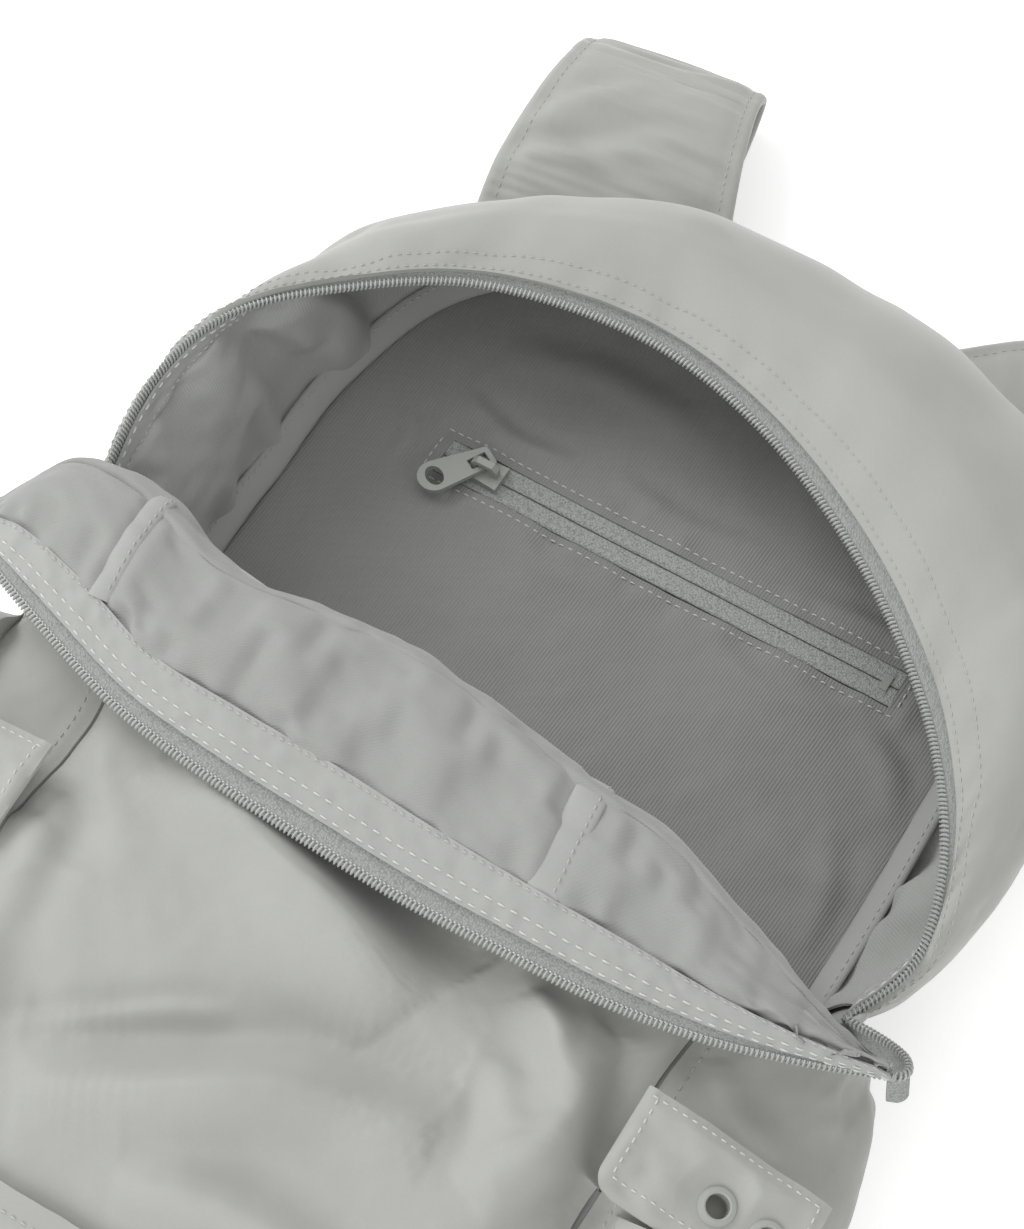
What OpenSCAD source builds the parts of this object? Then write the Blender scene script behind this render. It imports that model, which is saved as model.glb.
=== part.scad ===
// Padded sling bag, lying on its back with the main compartment unzipped.
// Frame: the bag's width is X, its height is Y (top towards +Y), and it lies on the plane z = 0.
// The origin is on the underside of the padded back cushion. Millimetres.

/* [Back] */
// Half of the back panel's width
back_half_w = 108; // [104:1:110]
// Y of the back panel's top edge
back_top = 194; // [192:1:196]
// Y of the back panel's bottom edge
back_bottom = -199; // [-201:1:-198]
// Radius of the back panel's top corners
top_corner = 70; // [66:1:74]
// Radius of the back panel's bottom corners
bottom_corner = 42; // [36:1:46]
// Thickness of the cushion on the outside of the back
cushion_t = 9; // [8.8:0.1:9]

/* [Cloth] */
// Thickness of the outer cloth with its wadding
shell_t = 2.4; // [2:0.1:2.6]
// Thickness of the lining cloth
lining_t = 0.8; // [0.6:0.1:0.9]
// Gap left between two layers that are sewn together
ply_gap = 0.4; // [0.35:0.05:0.45]

/* [Zips] */
// Length of the inner pocket's zip
pocket_zip_l = 146; // [140:1:148]
// Width of the inner pocket's zip, both tapes
pocket_zip_w = 12; // [11:0.5:12.5]
// Y of the inner pocket's zip
pocket_zip_y = 112; // [108:1:114]
// Radius of the main zip's coil
coil_r = 1.5; // [1.3:0.1:1.6]

/* [Flaps] */
// Width of a side pocket's flap
flap_w = 52; // [48:1:54]
// Depth of a side pocket's flap, from its seam to its hem
flap_d = 28; // [26:1:29]
// Radius of an eyelet's hole
eyelet_r = 3; // [2.6:0.1:3.2]
// Distance between the two eyelets of a flap
eyelet_pitch = 14; // [13:0.5:16]

/* [Strap] */
// Width of the padded strap
strap_w = 60; // [56:1:62]
// Thickness of the padded strap
strap_t = 7; // [6:0.5:7.4]
// Width of the webbing
web_w = 38; // [36:1:39]
// Thickness of the webbing
web_t = 1.4; // [1.2:0.1:1.4]
// X of the straight run of webbing
web_x = 203; // [199:1:208]

/* [Hidden] */
$fn = 48;

fabric = [0.66, 0.67, 0.65];
lining = [0.55, 0.56, 0.54];
tape = [0.58, 0.60, 0.58];
metal = [0.60, 0.61, 0.59];

panel_z = cushion_t + 0.3;                     // underside of the back panel
shell_top = panel_z + 1;
foam_top = shell_top + 5.2;
floor_z = foam_top + 0.3 + lining_t;           // inside face of the back lining
foot_z = floor_z + 1.2;                        // where the walls start

// ---- Curves and sheets -------------------------------------------------------------------

// Catmull-Rom curve through points p, at s from 0 to 1.
function along(p, s) =
  let (n = len(p) - 1, x = min(max(s, 0), 1) * n, i = min(floor(x), n - 1), t = x - i,
       a = p[max(i - 1, 0)], b = p[i], c = p[i + 1], d = p[min(i + 2, n)])
  0.5 * (2 * b + (c - a) * t + (2 * a - 5 * b + 4 * c - d) * t * t + (3 * b - a - 3 * c + d) * t * t * t);
function steps(a, b, n) = [for (i = [0:n]) a + (b - a) * i / n];
function unit(v) = v / norm(v);
// Normal of the surface f at (u, v), by differences.
function normal(f, u, v, e = 0.004) =
  unit(cross(f(min(u + e, 1), v) - f(max(u - e, 0), v), f(u, min(v + e, 1)) - f(u, max(v - e, 0))));

// A closed sheet between the surface f offset by lo and by hi along its normal.
module sheet(f, us, vs, lo, hi) {
  nu = len(us);
  nv = len(vs);
  half = nu * nv;
  layer = function (off) [for (u = us) for (v = vs) f(u, v) + off * normal(f, u, v)];
  at = function (i, j, k) k * half + i * nv + j;
  cells = [for (i = [0:nu - 2]) for (j = [0:nv - 2]) [i, j]];
  under = [for (c = cells) each let (i = c[0], j = c[1])
    [[at(i, j, 0), at(i + 1, j, 0), at(i + 1, j + 1, 0)], [at(i, j, 0), at(i + 1, j + 1, 0), at(i, j + 1, 0)]]];
  over = [for (t = under) [t[0] + half, t[2] + half, t[1] + half]];
  // The rim, once round the sheet's edge.
  ring = concat([for (i = [0:nu - 1]) at(i, 0, 0)], [for (j = [1:nv - 1]) at(nu - 1, j, 0)],
                [for (i = [nu - 2:-1:0]) at(i, nv - 1, 0)], [for (j = [nv - 2:-1:1]) at(0, j, 0)]);
  n = len(ring);
  rim = [for (k = [0:n - 1]) each let (a = ring[k], b = ring[(k + 1) % n])
    [[a, a + half, b + half], [a, b + half, b]]];
  polyhedron(concat(layer(lo), layer(hi)), concat(under, over, rim), convexity = 6);
}

// A tube of radius r round the points p, with flat ends.
module tube(p, r, sides = 8) {
  n = len(p);
  dir = [for (i = [0:n - 1]) unit(p[min(i + 1, n - 1)] - p[max(i - 1, 0)])];
  points = [for (i = [0:n - 1]) let (a = unit(cross(dir[i], [0, 0, 1])), b = cross(dir[i], a))
    each [for (k = [0:sides - 1]) p[i] + r * (a * cos(360 * k / sides) + b * sin(360 * k / sides))]];
  walls = [for (i = [0:n - 2]) for (k = [0:sides - 1])
    each let (a = i * sides + k, b = i * sides + (k + 1) % sides)
    [[a, b, b + sides], [a, b + sides, a + sides]]];
  ends = [[for (k = [sides - 1:-1:0]) k], [for (k = [0:sides - 1]) (n - 1) * sides + k]];
  polyhedron(points, concat(walls, ends), convexity = 6);
}

// ---- Arch wall: the back half of the gusset, from the back panel's edge to the zip --------

FOOT = [[-107, -3], [-108, 42], [-108, 82], [-107, 120], [-95, 160], [-65, 186], [-25, 193], [15, 193],
        [55, 187], [90, 164], [106, 125], [108, 80], [108, 46], [107, 16]];
BULGE = [[-121, -3, 37], [-117, 42, 38], [-119, 82, 38], [-118, 120, 38], [-107, 156, 36], [-78, 187, 34],
         [-32, 206, 32], [18, 207, 32], [64, 198, 32], [106, 172, 32], [126, 128, 32], [128, 84, 32],
         [125, 46, 32], [113, 16, 33]];
CROWN = [[-120, -1.5, 56], [-121, 36, 60], [-124, 72, 62], [-121, 105, 61], [-106, 138, 59], [-74, 168, 58],
         [-30, 184, 57], [16, 180, 57], [58, 166, 58], [96, 138, 58], [118, 104, 57], [126, 70, 54],
         [126, 40, 51], [117, 12, 48]];
ZIP_BACK = [[-115, -0.5, 62], [-121, 28, 69], [-127, 62, 72], [-123, 92, 69], [-105, 117, 64], [-73, 143, 58],
            [-27, 154, 53], [16, 146, 51], [59, 122, 52], [92, 93, 54], [112, 66, 56], [122, 43, 56],
            [124, 24, 56], [116, 5, 54]];
foot = function (u) let (p = along(FOOT, u)) [p[0], p[1], foot_z];
arch = function (u, v) along([foot(u), along(BULGE, u), along(CROWN, u), along(ZIP_BACK, u)], v);
arch_us = steps(0, 1, 44);

wall_low = 0.05;
wall_high = 0.9;
facing_low = wall_low + 0.8 * (wall_high - wall_low);
module arch_layer(low, high, n, lo, hi) sheet(arch, arch_us, steps(low, high, n), lo, hi);
module arch_shell() color(fabric) arch_layer(wall_low, wall_high, 10, -shell_t, 0);
module arch_lining() color(lining) arch_layer(wall_low, facing_low, 8, ply_gap, ply_gap + lining_t);
module arch_facing() color(lining) arch_layer(facing_low + 0.006, wall_high, 2, ply_gap, ply_gap + lining_t);
module zip_tape_back() color(tape) arch_layer(wall_high + 0.01, 0.94, 1, -0.9, -0.2);
module zip_coil_back() color(tape)
  tube([for (u = steps(0.004, 0.996, 60)) arch(u, 1) + [0, 0, coil_r]], coil_r);

// The bound seam that joins the back panel to the arch wall, inside.
seam_inset = 3.5;
binding = function (u, v)
  let (p = foot(u), inward = unit([-p[0], 60 - p[1], 0]))
  [p[0], p[1], floor_z + 1.2] + inward * (seam_inset + 7 * v) + [0, 0, 1 + 1.2 * sin(180 * v)];
module binding_back() color(lining) sheet(binding, steps(0.01, 0.99, 40), steps(0, 1, 2), -0.9, 0.3);

// ---- Back: cushion, panel and inner pocket ------------------------------------------------

module back_outline(inset = 0) {
  w = back_half_w - inset;
  low = back_bottom + inset;
  high = back_top - inset;
  rt = top_corner - inset;
  rb = bottom_corner - inset;
  polygon([[-w + rb, low], [w - rb, low], [w, low + rb], [w, high - rt], [w - rt, high],
           [-w + rt, high], [-w, high - rt], [-w, low + rb]]);
  for (side = [-1, 1]) {
    translate([side * (w - rt), high - rt]) circle(rt, $fn = 96);
    translate([side * (w - rb), low + rb]) circle(rb, $fn = 72);
  }
}
cushion_w = 172;
cushion_low = -178;
cushion_high = 62;
module rounded(w, l, r) {
  square([w - 2 * r, l], center = true);
  square([w, l - 2 * r], center = true);
  for (x = [-1, 1], y = [-1, 1]) translate([x * (w / 2 - r), y * (l / 2 - r)]) circle(r);
}
module cushion_slab(inset, low, high)
  translate([0, (cushion_low + cushion_high) / 2, low]) linear_extrude(high - low)
    rounded(cushion_w - 2 * inset, cushion_high - cushion_low - 2 * inset, 26 - inset);
module back_cushion_cover() color(fabric) difference() {
  cushion_slab(0, 0, cushion_t);
  cushion_slab(1, 1, cushion_t - 1);
}
module back_cushion_foam() color("gainsboro") cushion_slab(1.2, 1.2, cushion_t - 1.2);

recess_z = foam_top - 2.4;                     // the foam is let in for the pocket's bag
pocket_depth = 110;
module pocket_area(inset, low, high)
  translate([pocket_zip_x, pocket_zip_y + 10 - pocket_depth / 2, low]) linear_extrude(high - low)
    rounded(pocket_zip_l + 16 - 2 * inset, pocket_depth - 2 * inset, 8 - inset);
pocket_zip_x = 7;
module back_panel_shell() color(fabric) translate([0, 0, panel_z]) linear_extrude(1) back_outline();
module back_panel_foam() color("gainsboro") difference() {
  translate([0, 0, shell_top + 0.2]) linear_extrude(foam_top - shell_top - 0.2) back_outline(4);
  pocket_area(-1, recess_z, foam_top + 1);
}
module zip_window(grow, low, high)
  translate([pocket_zip_x, pocket_zip_y, low]) linear_extrude(high - low)
    square([pocket_zip_l + 2 * grow, pocket_zip_w + 2 * grow], center = true);
module back_panel_lining() color(lining) difference() {
  translate([0, 0, foam_top + 0.3]) linear_extrude(lining_t) back_outline(3);
  zip_window(2.4, foam_top, floor_z + 1);
}
module pocket_bag() color(lining) difference() {
  pocket_area(0, recess_z + 0.2, foam_top);
  pocket_area(0.8, recess_z + 1, foam_top - 0.8);
  zip_window(-1, foam_top - 2, foam_top + 1);
}
module pocket_zip_welt() color(lining) difference() {
  zip_window(2, foam_top + 0.3, floor_z + 0.4);
  zip_window(0, foam_top, floor_z + 1);
}
tape_gap = 0.4;
module pocket_zip_tapes() color(tape) for (side = [-1, 1])
  translate([pocket_zip_x, pocket_zip_y + side * (pocket_zip_w / 4 + tape_gap / 4), foam_top + 0.5])
    linear_extrude(0.8) square([pocket_zip_l - 1, pocket_zip_w / 2 - tape_gap - 0.3], center = true);
module pocket_zip_stops() color(metal) for (end = [-1, 1])
  translate([pocket_zip_x + end * (pocket_zip_l / 2 - 3), pocket_zip_y, foam_top + 1.3])
    linear_extrude(0.8) square([2.4, 5], center = true);

// A zip slider on a chain along X: body, and the crown that the puller hangs from.
slider_z = foam_top + 1.5;
slider_h = 2.6;
crown_x = 4.2;                                 // half of the crown's length
crown_h = 4.6;
module slider_body(l, w, h) {
  linear_extrude(h) polygon([[-l / 2, -w * 0.3], [-l / 2 + 2, -w * 0.42], [l / 2, -w / 2],
                             [l / 2, w / 2], [-l / 2 + 2, w * 0.42], [-l / 2, w * 0.3]]);
  translate([0, 0, h]) difference() {
    rotate([90, 0, 0]) linear_extrude(2.2, center = true)
      polygon([[-crown_x, -0.2], [-crown_x, crown_h - 1.6], [-crown_x + 1.6, crown_h], [crown_x - 1.6, crown_h],
               [crown_x, crown_h - 1.6], [crown_x, -0.2]]);
    rotate([90, 0, 0]) linear_extrude(4, center = true)
      polygon([[-crown_x + 1.5, 0], [-crown_x + 1.5, crown_h - 2.3], [-crown_x + 2.3, crown_h - 1.5],
               [crown_x - 2.3, crown_h - 1.5], [crown_x - 1.5, crown_h - 2.3], [crown_x - 1.5, 0]]);
  }
}
slider_x = pocket_zip_x - pocket_zip_l / 2 + 14;
module pocket_slider() color(metal)
  translate([slider_x, pocket_zip_y, slider_z]) slider_body(11, 8.4, slider_h);

// Puller with a window at its head and an oval hole at its tail, pointing along -Y. The side bar of
// the window runs along Y through the origin, and passes through the slider's crown.
puller_l = 24;
bar_w = 1.5;
window_w = 3.4;
window_l = 6.6;
puller_t = 1.6;
tail_r = 5;
bar_offset = -0.6;                             // bar's place in the crown, along the slider
bar_lift = slider_h + 0.35;
module puller_plate() translate([0, window_l / 2]) difference() {
  hull() {
    translate([-window_w - bar_w, 0]) circle(bar_w / 2);
    circle(bar_w / 2);
    translate([bar_w / 2 - tail_r, tail_r * 1.4 - puller_l]) circle(tail_r);
  }
  translate([-bar_w / 2 - window_w, -window_l]) square([window_w, window_l - bar_w / 2]);
  translate([bar_w / 2 - tail_r, tail_r * 1.4 - puller_l]) scale([1.1, 0.85]) circle(tail_r * 0.6);
}
puller_turn = -30;                             // how far the pocket's puller lies from -Y
module pocket_puller() color(metal)
  translate([slider_x + bar_offset, pocket_zip_y, slider_z + bar_lift]) rotate(puller_turn)
    linear_extrude(puller_t) puller_plate();

// ---- Pouch: the closed lower part, one surface cut into panels ----------------------------

// Rows from the mouth to the bottom: y, foot, bulge x and z, shoulder x and z, seam z, middle z.
ROWS = [[-30, 108, 138, 38, 122, 57, 63, 61],
        [-65, 108, 142, 38, 124, 59, 66, 66],
        [-110, 108, 141, 38, 122, 57, 64, 66],
        [-150, 107, 136, 36, 116, 51, 58, 60],
        [-180, 98, 122, 33, 104, 43, 49, 51],
        [-198, 84, 104, 28, 88, 34, 38, 40]];
seam_x = 88;
function row(r) =
  let (half = [[r[1], r[0], foot_z], [r[2], r[0], r[3]], [r[4], r[0], r[5]], [min(seam_x, r[4] - 8), r[0], r[6]],
               [44, r[0], (r[6] + r[7]) / 2]])
  concat([for (p = half) [-p[0], p[1], p[2]]], [[0, r[0], r[7]]], [for (i = [4:-1:0]) half[i]]);
MOUTH = [[-108, -5.5, foot_z], [-125, -6, 38], [-120, -4, 57], [-92, 24, 75], [-46, 21, 81], [0, 18, 82],
         [46, 12, 81], [92, 2, 75], [123, 1, 54], [124, 8, 34], [108, 14.5, foot_z]];
BASE = [for (x = steps(-70, 70, 10)) [x, back_bottom - 1, foot_z]];
pouch_rows = concat([MOUTH], [for (r = ROWS) row(r)], [BASE]);
pouch = function (u, v) along([for (r = pouch_rows) along(r, u)], v);
seam_u = 0.3;
bottom_v = 0.86;
hair = 0.004;                                  // half of the gap at a sewn seam, in u or v

module front_panel() color(fabric)
  sheet(pouch, steps(seam_u + hair, 1 - seam_u - hair, 14), steps(0, bottom_v - hair, 18), 0, shell_t);
module side_panel_left() color(fabric)
  sheet(pouch, steps(0.02, seam_u - hair, 10), steps(0, bottom_v - hair, 18), 0, shell_t);
module side_panel_right() color(fabric)
  sheet(pouch, steps(1 - seam_u + hair, 0.98, 10), steps(0, bottom_v - hair, 18), 0, shell_t);
module bottom_panel() color(fabric)
  sheet(pouch, steps(0.03, 0.97, 30), steps(bottom_v + hair, 0.985, 5), 0, shell_t);
wadding_t = 1.8;                               // room for the wadding between panels and lining
module pouch_lining() color(lining)
  sheet(pouch, steps(0.05, 0.95, 34), steps(0.035, 0.95, 18),
        shell_t + wadding_t, shell_t + wadding_t + lining_t);

// Patch pocket low on the front panel, and its hem.
pocket_top_v = 0.515;
patch_t = 1.2;
patch_gap = 1;                                 // an empty patch pocket stands off the panel
module front_pocket() color(fabric)
  sheet(pouch, steps(seam_u + 0.01, 0.99 - seam_u, 14), steps(pocket_top_v, bottom_v - 0.01, 8),
        -patch_gap - patch_t, -patch_gap);
module front_pocket_hem() color(fabric)
  sheet(pouch, steps(seam_u + 0.012, 0.988 - seam_u, 14), steps(pocket_top_v + 0.004, pocket_top_v + 0.05, 1),
        -patch_gap - patch_t - 1.2, -patch_gap - patch_t - 0.4);
// Patch pockets on the sides, under the flaps.
module side_pocket(u0, u1) color(fabric)
  sheet(pouch, steps(u0, u1, 8), steps(0.32, 0.74, 12), -patch_gap - patch_t, -patch_gap);
module side_pocket_left() side_pocket(0.1, seam_u - 0.01);
module side_pocket_right() side_pocket(0.71, 0.9);

// ---- Flaps with eyelets -------------------------------------------------------------------

flap_seam = [86, -40, 73.4];                   // inner end of the right flap's seam
flap_tilt = 15;                                // how far the flap slopes down to the side
flap_t = 2.4;
eyelet_x = 28;
eyelet_y = -15.5;
// The right flap's own frame: x along its seam, -y towards its hem, z out of the bag.
module on_flap() translate(flap_seam) rotate([3, flap_tilt, 0]) children();
module flap_plate() difference() {
  union() {
    translate([0, -flap_d + 6]) square([flap_w, flap_d - 6]);
    translate([6, -flap_d]) square([flap_w - 12, 7]);
    for (x = [6, flap_w - 6]) translate([x, -flap_d + 6]) circle(6);
  }
  for (i = [0, 1]) translate([eyelet_x + i * eyelet_pitch, eyelet_y]) circle(eyelet_r + 0.9);
}
module flap_right() color(fabric) on_flap() linear_extrude(flap_t) flap_plate();
module eyelet() rotate_extrude() polygon([
  [eyelet_r, -0.8], [eyelet_r + 1.9, -0.8], [eyelet_r + 1.9, -0.1], [eyelet_r + 0.7, -0.1],
  [eyelet_r + 0.7, flap_t + 0.1], [eyelet_r + 1.9, flap_t + 0.1], [eyelet_r + 1.5, flap_t + 0.7],
  [eyelet_r + 0.4, flap_t + 1], [eyelet_r, flap_t + 0.8]]);
module eyelets_right() color(metal) on_flap() for (i = [0, 1])
  translate([eyelet_x + i * eyelet_pitch, eyelet_y, 0]) eyelet();
module flap_left() mirror([1, 0, 0]) flap_right();
module eyelets_left() mirror([1, 0, 0]) eyelets_right();

// ---- Cuff: the front half of the gusset, turned out over the front panel -------------------

ZIP_FRONT = [[-142, 0, 70], [-124, -9, 75], [-100, -18, 76], [-76, -25, 76], [-48, -29, 76], [-18, -31, 76],
             [11, -32, 76], [39, -31, 76], [66, -29, 75], [91, -24, 74], [114, -16, 73], [134, -7, 71]];
CREST = [[-141, 14, 68], [-128, 29, 77], [-104, 28, 83], [-74, 18, 85], [-46, 20, 87], [-20, 21, 88],
         [8, 18, 88], [35, 14, 87], [62, 11, 85], [88, 3, 81], [112, -4, 75], [131, -7, 69]];
cuff_rise = 4;
cuff = function (u, v) along(CREST, u) * (1 - v) + along(ZIP_FRONT, u) * v + [0, 0, cuff_rise * sin(180 * v)];
module cuff_sheet(u0, u1, v0, v1, nu, nv, lo, hi) sheet(cuff, steps(u0, u1, nu), steps(v0, v1, nv), lo, hi);
cuff_gap = ply_gap + 0.2;
lining_lo = -cuff_gap - lining_t;
lining_end = 0.62;
left_seam_u = 0.2;
right_seam_u = 0.65;
module cuff_shell() color(fabric) cuff_sheet(0, 1, 0.03, 0.8, 30, 5, 0, shell_t - 0.4);
module cuff_lining_left() color(lining)
  cuff_sheet(0, left_seam_u - 0.003, 0, lining_end, 8, 4, lining_lo, -cuff_gap);
module cuff_lining_centre() color(lining)
  cuff_sheet(left_seam_u + 0.003, right_seam_u - 0.003, 0, lining_end, 14, 4, lining_lo, -cuff_gap);
module cuff_lining_right() color(lining)
  cuff_sheet(right_seam_u + 0.003, 1, 0, lining_end, 12, 4, lining_lo, -cuff_gap);
module cuff_facing() color(lining) cuff_sheet(0, 1, 0.65, 0.87, 30, 2, lining_lo, -cuff_gap);
module zip_tape_front() color(tape) cuff_sheet(0, 28 / 30, 0.9, 0.95, 28, 1, -0.8, -0.2);
module zip_coil_front() color(tape)
  tube([for (u = steps(0.004, 0.996, 60)) cuff(u, 1) + [0, -coil_r, 0]], coil_r);
module cuff_binding(u) color(lining)
  cuff_sheet(u - 0.014, u + 0.014, 0.02, lining_end - 0.02, 2, 4, lining_lo - 2, lining_lo - 0.3);
module binding_front_left() cuff_binding(left_seam_u);
module binding_front_right() cuff_binding(right_seam_u);

// ---- Main zip's ends and slider -----------------------------------------------------------

// The closed end of the main zip lies on the left side, below the mouth.
chain_x = -148.5;
chain_y = -14;
chain_z = 46;
chain_l = 44;
main_slider_y = chain_y - 8;
chain_face = chain_x - 1.7;                    // outer face of the chain
module main_zip_end() color(tape)
  translate([chain_x, chain_y, chain_z]) rotate([90, 0, 0]) linear_extrude(chain_l)
    polygon([[-0.6, -8], [0.6, -8], [0.6, -2.4], [1.4, -2], [1.4, 2], [0.6, 2.4], [0.6, 8], [-0.6, 8],
             [-0.6, 2.4], [-1.4, 2], [-1.4, -2], [-0.6, -2.4]]);
module main_slider() color(metal)
  translate([chain_face, main_slider_y, chain_z]) rotate([0, -90, 0]) rotate(90)
    slider_body(12, 9, slider_h);
module main_puller() color(metal)
  translate([chain_face - bar_lift, main_slider_y - bar_offset, chain_z]) rotate([90, 0, -90])
    linear_extrude(puller_t) puller_plate();
// The tape's turn at the mouth's right-hand corner.
TURN = [[136.5, -6, 69], [139, -1, 66], [135, 4, 62], [123, 7, 58]];
turn = function (u, v) along(TURN, u) + [0, 0, 6 * v - 3];
module zip_turn() color(tape) sheet(turn, steps(0, 1, 10), steps(0, 1, 1), -0.6, 0.6);

// ---- Strap --------------------------------------------------------------------------------

// Centreline points with the bearing of the strap's width and its half width, for a 60 mm strap.
STRAP = [[-67, 202, 12.6, 7, 43], [-70, 216, 18, 7, 39], [-75, 241, 20.5, 7, 34], [-78, 261, 18, 8, 31],
         [-79, 270, 11.6, 9, 30.5], [-78, 262, 5.2, 9, 30.5], [-74, 240, 4.4, 7, 30.5], [-66, 206, 4, 4, 30],
         [-52, 170, 4, 30, 30], [-18, 144, 4, 70, 30], [20, 156, 4, 118, 30], [52, 196, 4, 128, 30],
         [86, 224, 4, 118, 30], [126, 236, 5, 92, 30], [172, 218, 6, 45, 30], [web_x - 5, 174, 6, 12, 29],
         [web_x, 130, 6, 0, 27], [web_x, 94, 6, 0, 24], [web_x, 74, 6, 0, 21]];
strap = function (u, v) let (p = along(STRAP, u))
  [p[0], p[1], p[2]] + (2 * v - 1) * p[4] * strap_w / 60 * [cos(p[3]), sin(p[3]), 0];
module strap_cover() color(fabric) difference() {
  sheet(strap, steps(0, 1, 72), steps(0, 1, 4), -strap_t / 2, strap_t / 2);
  sheet(strap, steps(0.02, 0.985, 70), steps(0.04, 0.96, 2), -strap_t / 2 + 1, strap_t / 2 - 1);
}
module strap_foam() color("gainsboro")
  sheet(strap, steps(0.024, 0.981, 70), steps(0.05, 0.95, 2), -strap_t / 2 + 1.4, strap_t / 2 - 1.4);

ring_y = -128;
ring_z = 5.6;
ring_wire = 1.8;
ring_gap = 5;                                  // half of the ring's opening along Y
web_top_end = 40;
web_pad_end = 73.4;
bend_r = ring_wire + 0.5;
module web_bar(x, y, z, w) translate([x, y, z]) rotate([0, 90, 0]) cylinder(h = w, r = ring_wire, center = true);
module strap_ring() color(metal) translate([web_x, ring_y, ring_z]) {
  for (side = [-1, 1]) {
    web_bar(0, side * (ring_gap + ring_wire), 0, web_w + 2);
    translate([side * (web_w / 2 + 1 + ring_wire), 0, 0]) rotate([90, 0, 0])
      cylinder(h = 2 * ring_gap + 2 * ring_wire, r = ring_wire, center = true);
    for (end = [-1, 1]) translate([side * (web_w / 2 + 1 + ring_wire), end * (ring_gap + ring_wire), 0])
      sphere(ring_wire);
    translate([side * (web_w / 2 + 1), 0, 0]) for (end = [-1, 1])
      translate([0, end * (ring_gap + ring_wire), 0]) rotate([0, side * 90, 0])
        cylinder(h = ring_wire, r = ring_wire);
  }
}
// Webbing: a lower layer from the padded strap to the ring, round its bar, and back on top.
module web_section() {
  bar = [ring_y + ring_gap + ring_wire, ring_z];
  translate([bar[0], bar[1]]) intersection() {
    difference() {
      circle(bend_r + web_t);
      circle(bend_r);
    }
    translate([-10, -10]) square([10, 20]);
  }
  translate([bar[0], bar[1] - bend_r - web_t]) square([web_pad_end - bar[0], web_t]);
  translate([bar[0], bar[1] + bend_r]) square([web_top_end - bar[0], web_t]);
}
module strap_webbing() color(tape)
  translate([web_x - web_w / 2, 0, 0]) rotate([90, 0, 90]) linear_extrude(web_w) web_section();
slide_y = 10;
slide_l = 20;
web_base = ring_z - bend_r - web_t;            // underside of the lower layer
web_roof = ring_z + bend_r + web_t;            // upper side of the upper layer
module strap_slider() color(metal)
  translate([web_x, slide_y, 0]) rotate([90, 0, 0]) linear_extrude(slide_l, center = true) difference() {
    translate([0, ring_z]) rounded(web_w + 7, web_roof - web_base + 3.2, 2);
    for (side = [-1, 1])
      translate([0, ring_z + side * (bend_r + web_t / 2)]) square([web_w + 1, web_t + 0.8], center = true);
  }
// Tab of webbing that holds the ring to the bag's lower corner.
TAB = [[109, -160, 16.9, -90], [140, -167, 11, -80], [174, -167, 6.6, -52],
       [web_x - 6, -153, ring_z, -20],
       [web_x, ring_y - ring_gap - 4.4, ring_z, 0]];
tab = function (u, v) let (p = along(TAB, u))
  [p[0], p[1], p[2]] + (2 * v - 1) * (web_w / 2 - 3) * [cos(p[3]), sin(p[3]), 0];
module ring_tab() color(tape) sheet(tab, steps(0, 1, 12), steps(0, 1, 2), -0.7, 0.7);

// ---- Everything ---------------------------------------------------------------------------

back_cushion_cover();
back_cushion_foam();
back_panel_shell();
back_panel_foam();
back_panel_lining();
pocket_bag();
pocket_zip_welt();
pocket_zip_tapes();
pocket_zip_stops();
pocket_slider();
pocket_puller();
arch_shell();
arch_lining();
arch_facing();
zip_tape_back();
zip_coil_back();
binding_back();
front_panel();
side_panel_left();
side_panel_right();
bottom_panel();
pouch_lining();
front_pocket();
front_pocket_hem();
side_pocket_left();
side_pocket_right();
flap_left();
flap_right();
eyelets_left();
eyelets_right();
cuff_shell();
cuff_lining_left();
cuff_lining_centre();
cuff_lining_right();
cuff_facing();
binding_front_left();
binding_front_right();
zip_tape_front();
zip_coil_front();
zip_turn();
main_zip_end();
main_slider();
main_puller();
strap_cover();
strap_foam();
strap_webbing();
strap_slider();
strap_ring();
ring_tab();
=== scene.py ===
"""Looks for the open sling bag: cloth, zips, stitches and metal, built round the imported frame.
Lengths are in millimetres until a mesh is written, which is in metres."""
from math import cos, pi, radians, sin

import bpy
import numpy as np
from mathutils import Matrix, Vector


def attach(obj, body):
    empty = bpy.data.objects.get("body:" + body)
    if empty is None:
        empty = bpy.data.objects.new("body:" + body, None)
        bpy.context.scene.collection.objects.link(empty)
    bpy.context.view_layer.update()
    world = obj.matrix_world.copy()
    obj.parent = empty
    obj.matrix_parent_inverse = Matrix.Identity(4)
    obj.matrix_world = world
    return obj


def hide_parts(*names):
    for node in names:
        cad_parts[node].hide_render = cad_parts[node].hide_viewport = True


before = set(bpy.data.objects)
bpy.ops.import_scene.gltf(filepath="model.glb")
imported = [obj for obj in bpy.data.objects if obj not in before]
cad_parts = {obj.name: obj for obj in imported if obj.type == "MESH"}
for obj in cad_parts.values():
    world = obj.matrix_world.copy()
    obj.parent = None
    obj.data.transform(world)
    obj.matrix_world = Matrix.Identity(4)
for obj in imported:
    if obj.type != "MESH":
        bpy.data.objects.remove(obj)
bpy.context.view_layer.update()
scene = bpy.context.scene
MM = 0.001
UP = (0, 0, 1.0)


# ---- Curves, grids and noise ----

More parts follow.
